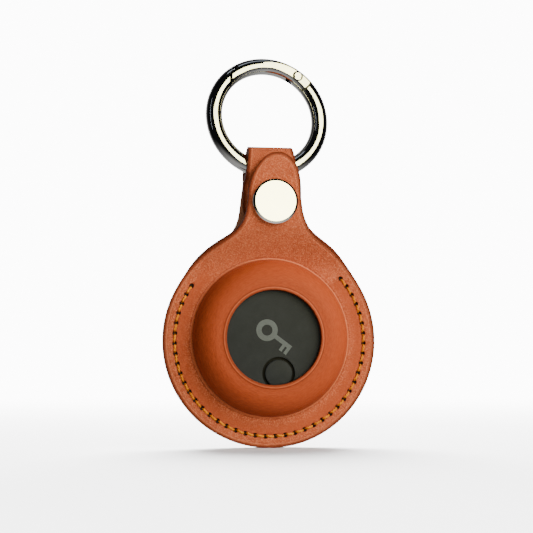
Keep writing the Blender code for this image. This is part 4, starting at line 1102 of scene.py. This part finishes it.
def sew(name, side, lie, seed, stitches):
    """Run the stitches along the seam on one side of the pouch."""
    obj = link(name, bpy.data.meshes.new(name))
    modifier = obj.modifiers.new("stitches", "NODES")
    modifier.node_group = stitches
    sizes = {"Count": STITCHES, "Seam Radius": SEAM_R, "Start": math.radians(SEAM_START),
             "Step": math.radians(SEAM_END - SEAM_START) / STITCHES, "Span": STITCH_SPAN,
             "Twist Radius": THREAD_R, "Ply Radius": PLY_R, "Lie": lie, "Dip": THREAD_DIP,
             "Side": side, "Slant": math.radians(SLANT), "Seed": seed, "Plug Radius": PLUG_R,
             "Plug Length": PLUG_L, "Material": golden_thread, "Plug Material": plug_thread}
    for item in stitches.interface.items_tree:
        if item.name in sizes:
            modifier[item.identifier] = sizes[item.name]
    seat(obj, POUCH_FRAME, sharp=60.0)
    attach(obj, "pouch")
    return obj


golden_thread = thread_material("golden_thread", THREAD_GOLD, THREAD_BROWN)
# The thread in the holes is real thread, coloured near black as painted shade deep in the holes.
plug_thread = thread_material("thread_in_holes", SHADED_THREAD_BROWN, HOLE_SHADE_BLACK)
stitches = stitch_tree()
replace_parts(sew("front_stitches", -1.0, FRONT_LIE, 3, stitches), "needle_thread")
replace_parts(sew("back_stitches", 1.0, BACK_LIE, 8, stitches), "bobbin_thread")


# Snap fastener
# A four-part snap of nickel-plated brass. The cap's barrel is peened through the tongue and the
# socket, and the post is riveted through the strap and its tab into the stud.
SEAT_GAP = 0.03
CAP_R = 5.3
CAP_T = 1.5
CAP_BEVEL = (0.58, 0.52)
CAP_EDGE_R = 0.12
CAP_CURL = ((0.0, 0.35), (0.1, 0.12), (0.35, 0.0))
BARREL_R = 1.2
SOCKET_R = 3.6
SOCKET_FLANGE_R = 4.3
SOCKET_FLANGE_T = 0.43
SOCKET_BORE_R = 2.5
SOCKET_H = 2.8
SOCKET_ROOF_T = 0.9
SOCKET_GROOVE = 0.25
CLIP_WIRE_R = 0.15
CLIP_R = 2.48
CLIP_ENDS = (100.0, 440.0)
POST_R = 1.3
POST_HEAD_R = 3.3
POST_HEAD_T = 0.65
STUD_R = 2.0
STUD_NECK_R = 1.75
STUD_BASE_R = 3.4
STUD_BASE_T = 0.45
STUD_H = 2.5
BALL_H = 0.9
NECK_SHARE = 0.4
POST_SHARE = 0.45
HEAD_RIM_T = 0.2
RIVET_PLAY = 0.06
NICKEL = (0.93, 0.91, 0.84, 1.0)
NICKEL_DULL = (0.88, 0.86, 0.79, 1.0)

nickel = plated_metal("nickel", NICKEL, NICKEL_DULL, 0.045)
SNAP_FRAME = at(POUCH_FRAME, x=SNAP_X, z=SNAP_Z)
tongue_face = BACK_FACE + RISE + SEAT_GAP
under = tongue_face - LEATHER_T - 2 * SEAT_GAP
roof, mouth = under - SOCKET_ROOF_T, under - SOCKET_H
top = tongue_face + CAP_T
corner = [(CAP_R - CAP_BEVEL[0], top), (CAP_R - 0.6 * CAP_EDGE_R, top - CAP_BEVEL[1] + 0.4 * CAP_EDGE_R),
          (CAP_R, top - CAP_BEVEL[1] - CAP_EDGE_R)]
curl = [(CAP_R - inset, tongue_face + rise) for inset, rise in CAP_CURL]
profile = [(0, top)] + corner + curl
profile += [(BARREL_R, tongue_face), (BARREL_R, roof + SEAT_GAP), (0, roof + SEAT_GAP)]
cap = turned("snap_button", profile, 128)
seat(cap, SNAP_FRAME, nickel, GROUND_SHARP)
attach(cap, "tongue")
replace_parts(cap, "snap_cap")

groove = (mouth + roof) / 2
bore, deep_bore = SOCKET_BORE_R, SOCKET_BORE_R + SOCKET_GROOVE
profile = [(BARREL_R + RIVET_PLAY, under), (SOCKET_FLANGE_R, under),
           (SOCKET_FLANGE_R, under - SOCKET_FLANGE_T),
           (SOCKET_R, under - SOCKET_FLANGE_T), (SOCKET_R, mouth + SOCKET_GROOVE),
           (SOCKET_R - SOCKET_GROOVE, mouth), (bore, mouth), (bore, groove - 2 * CLIP_WIRE_R),
           (deep_bore, groove - 2 * CLIP_WIRE_R), (deep_bore, groove + 2 * CLIP_WIRE_R),
           (bore, groove + 2 * CLIP_WIRE_R), (bore, roof), (BARREL_R + RIVET_PLAY, roof)]
socket = turned("snap_female", profile, 72)
round_edges(socket, EDGE_BREAK)
seat(socket, SNAP_FRAME, nickel)
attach(socket, "tongue")
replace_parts(socket, "snap_socket")

points = [(x, -groove, z) for x, z in arc((0, 0), CLIP_R, *CLIP_ENDS, 60)]
clip = tube("snap_ring", points, CLIP_WIRE_R)
seat(clip, SNAP_FRAME, spring_steel)
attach(clip, "tongue")
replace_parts(clip, "socket_spring")

rest = BACK_FACE + SEAT_GAP
post_end = rest + STUD_H * POST_SHARE
head = [(POST_HEAD_R * math.cos(t), -rest - HEAD_RIM_T - (POST_HEAD_T - HEAD_RIM_T) * math.sin(t))
        for t in np.linspace(0, math.pi / 2, 10)[:-1]]
profile = [(0, post_end), (POST_R, post_end), (POST_R, -rest), (POST_HEAD_R, -rest)]
profile += head + [(0, -rest - POST_HEAD_T)]
post = turned("snap_rivet_post", profile, 72)
seat(post, SNAP_FRAME, nickel)
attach(post, "pouch")
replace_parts(post, "snap_post")

ball = [(STUD_R * math.sin(t), rest + STUD_H - BALL_H + BALL_H * math.cos(t))
        for t in np.linspace(0, math.pi / 2, 10)]
ball[0] = (0, rest + STUD_H)
inside = POST_R + RIVET_PLAY
ceiling = post_end + 2 * RIVET_PLAY
profile = ball + [(STUD_NECK_R, rest + STUD_H * NECK_SHARE), (STUD_NECK_R, rest + STUD_BASE_T),
                  (STUD_BASE_R, rest + STUD_BASE_T), (STUD_BASE_R, rest), (inside, rest),
                  (inside, ceiling), (0, ceiling)]
stud = turned("snap_male", profile, 72)
seat(stud, SNAP_FRAME, nickel)
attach(stud, "pouch")
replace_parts(stud, "snap_stud")


# Tracker tag
# The tag's casing is moulded in charcoal plastic with a fine matt spark finish. Its round button
# sits in a groove in the front, a plain key is printed above it, and the back twists off.
TAG_T = 6.8
TAG_EDGE_R = 3.5
TAG_EDGE_DEPTH = 3.9
SHELL_FRONT_T = 0.75
SHELL_MOUTH_R = 14.8
BACK_BEVEL = 0.6
RIB_R = 14.0
RIB_Y = 2.0
RIB_T = 0.45
LUGS = 3
TWIST = 35.0
NOTCH_HALF_ANGLE = 15.0
NOTCH_INSET = 0.8
NOTCH_PAST = 0.25
CUT_PAST = 0.2
CUT_CLEAR = 1.0
BUTTON_R = 3.1
BUTTON_GROOVE = 0.7
BUTTON_FLANGE_R = 4.15
BUTTON_FLANGE_T = 0.22
BUTTON_ROUND = 0.24
CHARCOAL = (0.0105, 0.0118, 0.012, 1.0)
CHARCOAL_LIGHT = (0.0175, 0.0194, 0.0195, 1.0)
GROOVE_SHADE = (0.0008, 0.0008, 0.0008, 1.0)
PRINT_GREY = (0.09, 0.099, 0.083, 1.0)
PRINT_WORN = (0.068, 0.075, 0.062, 1.0)


def moulded_plastic(name, colour, light, rough, groove=None):
    """Matt plastic with a spark finish; a groove, given by its middle and radius, is painted darker as
    shade.
    """
    material, place = new_material(name, {"IOR": 1.5, "Specular IOR Level": 0.05})
    spark = place.noise(0.14, 3.0, 0.7)
    cloud = place.noise(3.5, 3.0)
    shade = (cloud * 0.3 + spark * 0.7).ramp(0.35, 0.7).mix(colour, light)
    if groove:
        # Painted shade: the button's groove is darkened below the face.
        reach = place.around(groove[0]).length() / MM
        sunk_shade = place.part(1).ramp(groove[0].y + 0.03 * MM, groove[0].y + 0.2 * MM)
        shade = (reach.line(groove[1], 0.9) * sunk_shade).mix(shade, GROOVE_SHADE)
    return feed(material, Base_Color=shade, Roughness=rough + spark * 0.16, Normal=spark.bump(0.012))


# The button's place under the tag's middle says how the tag is turned in the pouch.
low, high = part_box("tag_button")
down = (low + high) / 2 - TAG_PLACE
TAG_FRAME = Matrix.Translation(TAG_PLACE) @ Matrix.Rotation(-math.atan2(down.x, -down.z), 4, "Y")
button_at = -math.hypot(down.x, down.z) / MM
button_place = TAG_FRAME @ (Vector((0, -TAG_T, button_at)) * MM)
charcoal = moulded_plastic("charcoal_plastic", CHARCOAL, CHARCOAL_LIGHT, 0.42,
                           (button_place, BUTTON_R + BUTTON_GROOVE / 2))
turns = np.linspace(0, math.pi / 2, 16)
outer = [(0, TAG_T)] + [(TAG_FLAT_R + TAG_EDGE_R * math.sin(t),
                         TAG_T - TAG_EDGE_DEPTH * (1 - math.cos(t))) for t in turns]
outer += [(TAG_R, BACK_BEVEL), (TAG_R - BACK_BEVEL, 0)]
inner = [(SHELL_MOUTH_R, 0), (SHELL_MOUTH_R, RIB_Y), (RIB_R, RIB_Y), (RIB_R, RIB_Y + RIB_T),
         (SHELL_MOUTH_R, RIB_Y + RIB_T)]
edge = TAG_T - TAG_EDGE_DEPTH
inner += [(TAG_FLAT_R + (SHELL_MOUTH_R - TAG_FLAT_R) * math.sin(t),
           edge + (TAG_EDGE_DEPTH - SHELL_FRONT_T) * math.cos(t)) for t in reversed(turns)]
shell = turned("tag_casing", outer + inner + [(0, TAG_T - SHELL_FRONT_T)], 128)
outline = disc((0, button_at), BUTTON_R + BUTTON_GROOVE, 72)
carve(shell, prism(outline, -TAG_T - CUT_CLEAR, -TAG_T + SHELL_FRONT_T + CUT_PAST))
for lug in range(LUGS):
    middle = 90.0 + 360.0 / LUGS * lug - TWIST
    notch = band((0, 0), RIB_R - NOTCH_INSET, SHELL_MOUTH_R + NOTCH_PAST,
                 middle - NOTCH_HALF_ANGLE, middle + NOTCH_HALF_ANGLE, 8, 8)
    carve(shell, prism(notch, -RIB_Y - RIB_T - CUT_PAST, -RIB_Y + CUT_PAST))
round_edges(shell, EDGE_BREAK)
seat(shell, TAG_FRAME, charcoal, sharp=12.0)
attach(shell, "tag")
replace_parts(shell, "tag_front_shell")

behind = TAG_T - SHELL_FRONT_T - SEAT_GAP
profile = [(0, TAG_T), (BUTTON_R, TAG_T), (BUTTON_R, behind), (BUTTON_FLANGE_R, behind),
           (BUTTON_FLANGE_R, behind - BUTTON_FLANGE_T), (0, behind - BUTTON_FLANGE_T)]
button = turned("tag_key", profile, 96)
round_edges(button, BUTTON_ROUND, segments=4)
seat(button, at(TAG_FRAME, z=button_at), charcoal)
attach(button, "button")
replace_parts(button, "tag_button")


# Key print
# A plain key is pad-printed in grey ink on the casing's front: a ring for its bow, a shank and
# two bits, a few hundredths of a millimetre thick.
PRINT_T = 0.03
BOW_R = 2.5
BOW_HOLE_R = 1.25
SHANK_HALF_W = 0.5
SHANK_END = 6.9
BIT_W = 0.8
BIT_L = 1.5
BITS_SPAN = 2.6
PRINT_GAP = 0.002
PRINT_TILT = 45.0
PRINT_PLACE = (-1.2, 1.9)


def print_outline():
    """The key lying along +X from its bow's middle, as one outline."""
    open_half = math.degrees(math.asin(SHANK_HALF_W / BOW_R))
    outline = arc((0, 0), BOW_R, open_half, 360.0 - open_half, 49)
    side, foot = -SHANK_HALF_W, -SHANK_HALF_W - BIT_L
    for bit in (SHANK_END - BITS_SPAN * BIT_W, SHANK_END - BIT_W):
        outline += [(bit, side), (bit, foot), (bit + BIT_W, foot), (bit + BIT_W, side)]
    outline[-1] = (SHANK_END, SHANK_HALF_W)
    return outline


ink = moulded_plastic("grey_ink", PRINT_GREY, PRINT_WORN, 0.5)
key = prism(print_outline(), -TAG_T - PRINT_T, -TAG_T - PRINT_GAP)
key.name = "key_print"
carve(key, prism(disc((0, 0), BOW_HOLE_R, 40), -TAG_T - CUT_CLEAR, -TAG_T + CUT_CLEAR))
tilt = Matrix.Rotation(math.radians(PRINT_TILT), 4, "Y")
seat(key, at(TAG_FRAME, x=PRINT_PLACE[0], z=PRINT_PLACE[1]) @ tilt, ink)
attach(key, "tag")


# Battery cover
# The back of the tag is a charcoal disc with a skirt and three lugs that turn under a rib in
# the casing. A coin turns it by the slot across its middle.
COVER_RECESS = 0.05
COVER_INSIDE = 0.85
SKIRT_R = 13.2
SKIRT_WALL = 0.8
SKIRT_END = 3.15
LUG_REACH = 1.3
LUG_T = 0.5
LUG_HALF_ANGLE = 12.0
COVER_PLAY = 0.2
COIN_SLOT = (12.0, 1.8, 0.35)

profile = [(0, COVER_INSIDE), (SKIRT_R - SKIRT_WALL, COVER_INSIDE), (SKIRT_R - SKIRT_WALL, SKIRT_END),
           (SKIRT_R, SKIRT_END), (SKIRT_R, COVER_INSIDE), (SHELL_MOUTH_R - COVER_PLAY, COVER_INSIDE),
           (SHELL_MOUTH_R - COVER_PLAY, COVER_RECESS), (0, COVER_RECESS)]
cover = turned("tag_cover", profile, 128)
for lug in range(LUGS):
    middle = 90.0 + 360.0 / LUGS * lug
    outline = band((0, 0), SKIRT_R - SKIRT_WALL / 2, SKIRT_R + LUG_REACH,
                   middle - LUG_HALF_ANGLE, middle + LUG_HALF_ANGLE, 9, 9)
    carve(cover, prism(outline, -SKIRT_END, -SKIRT_END + LUG_T), "UNION")
half_l, half_w, slot_deep = COIN_SLOT[0] / 2, COIN_SLOT[1] / 2, COIN_SLOT[2]
outline = arc((half_l - half_w, 0), half_w, -90.0, 90.0, 13)
outline += arc((half_w - half_l, 0), half_w, 90.0, 270.0, 13)
carve(cover, prism(outline, -COVER_RECESS - slot_deep, CUT_CLEAR))
round_edges(cover, EDGE_BREAK)
seat(cover, TAG_FRAME, charcoal)
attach(cover, "cover")
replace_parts(cover, "battery_cover")


# Inside the tag
# The coin cell, its contacts, the board with its chip, switch and buzzer, and the O-ring are
# small rigid parts that keep their shape and get the finish of what they are made of.
RUBBER = (0.012, 0.012, 0.012, 1.0)
RUBBER_LIGHT = (0.03, 0.03, 0.03, 1.0)
CHIP_BLACK = (0.012, 0.012, 0.014, 1.0)
CHIP_LIGHT = (0.03, 0.03, 0.034, 1.0)
BOARD_GREEN = (0.012, 0.13, 0.045, 1.0)
COPPER_GREEN = (0.03, 0.24, 0.085, 1.0)
BRASS = (0.8, 0.58, 0.24, 1.0)
BRASS_DULL = (0.6, 0.42, 0.17, 1.0)
TRACK_SIZE = 0.7


def board_material():
    """Green lacquer with the copper tracks showing paler through it."""
    material, place = new_material("circuit_board", {"Coat Weight": 0.5, "Coat Roughness": 0.12})
    steps = place.vector("MULTIPLY", (1 / (TRACK_SIZE * MM),) * 3)
    cells = steps.node("ShaderNodeTexVoronoi", {"distance": "MANHATTAN"},
                       {"Vector": steps, "Scale": 1.0}, 1)
    shade = cells.part(0)
    track = shade.ramp(0.55, 0.6)
    return feed(material, Base_Color=track.mix(BOARD_GREEN, COPPER_GREEN),
                Roughness=0.3 + shade * 0.1, Normal=track.bump(0.02))


finishes = {
    "seal_ring": moulded_plastic("nitrile", RUBBER, RUBBER_LIGHT, 0.65),
    "coin_cell": nickel,
    "battery_contact_negative": spring_steel,
    "battery_clip_positive": spring_steel,
    "circuit_board": board_material(),
    "radio_chip": moulded_plastic("epoxy", CHIP_BLACK, CHIP_LIGHT, 0.35),
    "buzzer_disc": plated_metal("rolled_brass", BRASS, BRASS_DULL, 0.22),
    "tact_switch": spring_steel,
}
for node, finish in finishes.items():
    mesh = frame["nodes"][node].data
    mesh.materials.clear()
    mesh.materials.append(finish)


# Floor and light
# A plain pale floor under the holder, its far parts lost in the white of the room. A large warm
# window of light stands in front on the right, and weaker soft lights fill the rest.
FLOOR_HALF = 0.6
FLOOR_CLEAR_R = 0.1
FLOOR_GONE_R = 0.55
FLOOR_PALE = (0.84, 0.84, 0.84, 1.0)
FLOOR_SHADE = (0.8, 0.8, 0.8, 1.0)
ROOM_WHITE = (12.0, 12.0, 12.0, 1.0)
ROOM_BEHIND = (1.5, 1.5, 1.5, 1.0)
ROOM_FRONT = (0.008, 0.0085, 0.0095, 1.0)
ROOM_BELOW = (0.7, 0.7, 0.7, 1.0)
WINDOW_CREAM = (1.0, 0.95, 0.5)
STRIP_BLUE = (0.75, 0.85, 1.0)
LIGHT_DISTANCE = 0.8

square = ((-1, -1), (1, -1), (1, 1), (-1, 1))
corners = [(x * FLOOR_HALF, y * FLOOR_HALF, cad_box[0].z) for x, y in square]
mesh = bpy.data.meshes.new("floor")
mesh.from_pydata(corners, [], [(0, 1, 2, 3)])
floor = link("floor", mesh)
material, place = new_material("floor_paint", {"Specular IOR Level": 0.1})
cloud = place.noise(60.0)
from_middle = place.vector("MULTIPLY", (1, 1, 0)).length()
mesh.materials.append(feed(material, Base_Color=cloud.mix(FLOOR_SHADE, FLOOR_PALE),
                           Roughness=0.6 + cloud * 0.1,
                           Alpha=1 - from_middle.ramp(FLOOR_CLEAR_R, FLOOR_GONE_R)))
floor.visible_glossy = False
floor.visible_diffuse = False


def soft_light(name, azimuth, elevation, width, height, power, colour=(1, 1, 1),
               mirrored=True, lights=True):
    """A rectangular soft light that faces the pouch, its azimuth in degrees right of the front."""
    lamp = bpy.data.lights.new(name, "AREA")
    lamp.shape = "RECTANGLE"
    lamp.size, lamp.size_y = width, height
    lamp.energy = power
    lamp.color = colour
    obj = bpy.data.objects.new(name, lamp)
    bpy.context.collection.objects.link(obj)
    across, up = math.radians(azimuth), math.radians(elevation)
    way = Vector((math.sin(across) * math.cos(up), -math.cos(across) * math.cos(up), math.sin(up)))
    obj.location = POUCH_PLACE + way * LIGHT_DISTANCE
    obj.rotation_euler = (-way).to_track_quat("-Z", "Y").to_euler()
    obj.visible_camera = False
    obj.visible_glossy = mirrored
    obj.visible_diffuse = lights
    return obj


soft_light("window_light", 22.0, 12.0, 0.86, 0.72, 22.0, WINDOW_CREAM, lights=False)
soft_light("key_light", 42.0, 22.0, 0.8, 0.8, 15.5, mirrored=False)
soft_light("front_light", -4.0, 4.0, 0.9, 0.7, 5.0, mirrored=False)
soft_light("back_light", 170.0, 20.0, 0.6, 0.5, 2.0, mirrored=False)
floor_light = soft_light("floor_light", 176.0, 50.0, 0.8, 0.7, 75.0, mirrored=False)
floor_only = bpy.data.collections.new("lit_floor")
floor_only.objects.link(floor)
floor_light.light_linking.receiver_collection = floor_only
soft_light("ceiling_light", 10.0, 82.0, 0.5, 0.16, 0.2, STRIP_BLUE, lights=False)
soft_light("strip_light", -58.0, 25.0, 0.025, 0.5, 0.08, STRIP_BLUE, lights=False)


def studio_world():
    """White to the eye; what lights and mirrors is bright behind the holder and dark in front."""
    world = bpy.data.worlds.new("studio")
    bpy.context.scene.world = world
    world.use_nodes = True
    tree = world.node_tree
    way = Value(tree.nodes.new("ShaderNodeTexCoord").outputs["Generated"])
    seen = way.node("ShaderNodeLightPath")
    room = (way.part(1).ramp(0.0, 1.1) ** 3.0).mix(ROOM_FRONT, ROOM_BEHIND)
    room = (1 - way.part(2).ramp(-1.1, -0.2)).mix(room, ROOM_BELOW)
    backdrop = tree.nodes["Background"]
    tree.links.new(seen.mix(room, ROOM_WHITE).socket, backdrop.inputs["Color"])


studio_world()
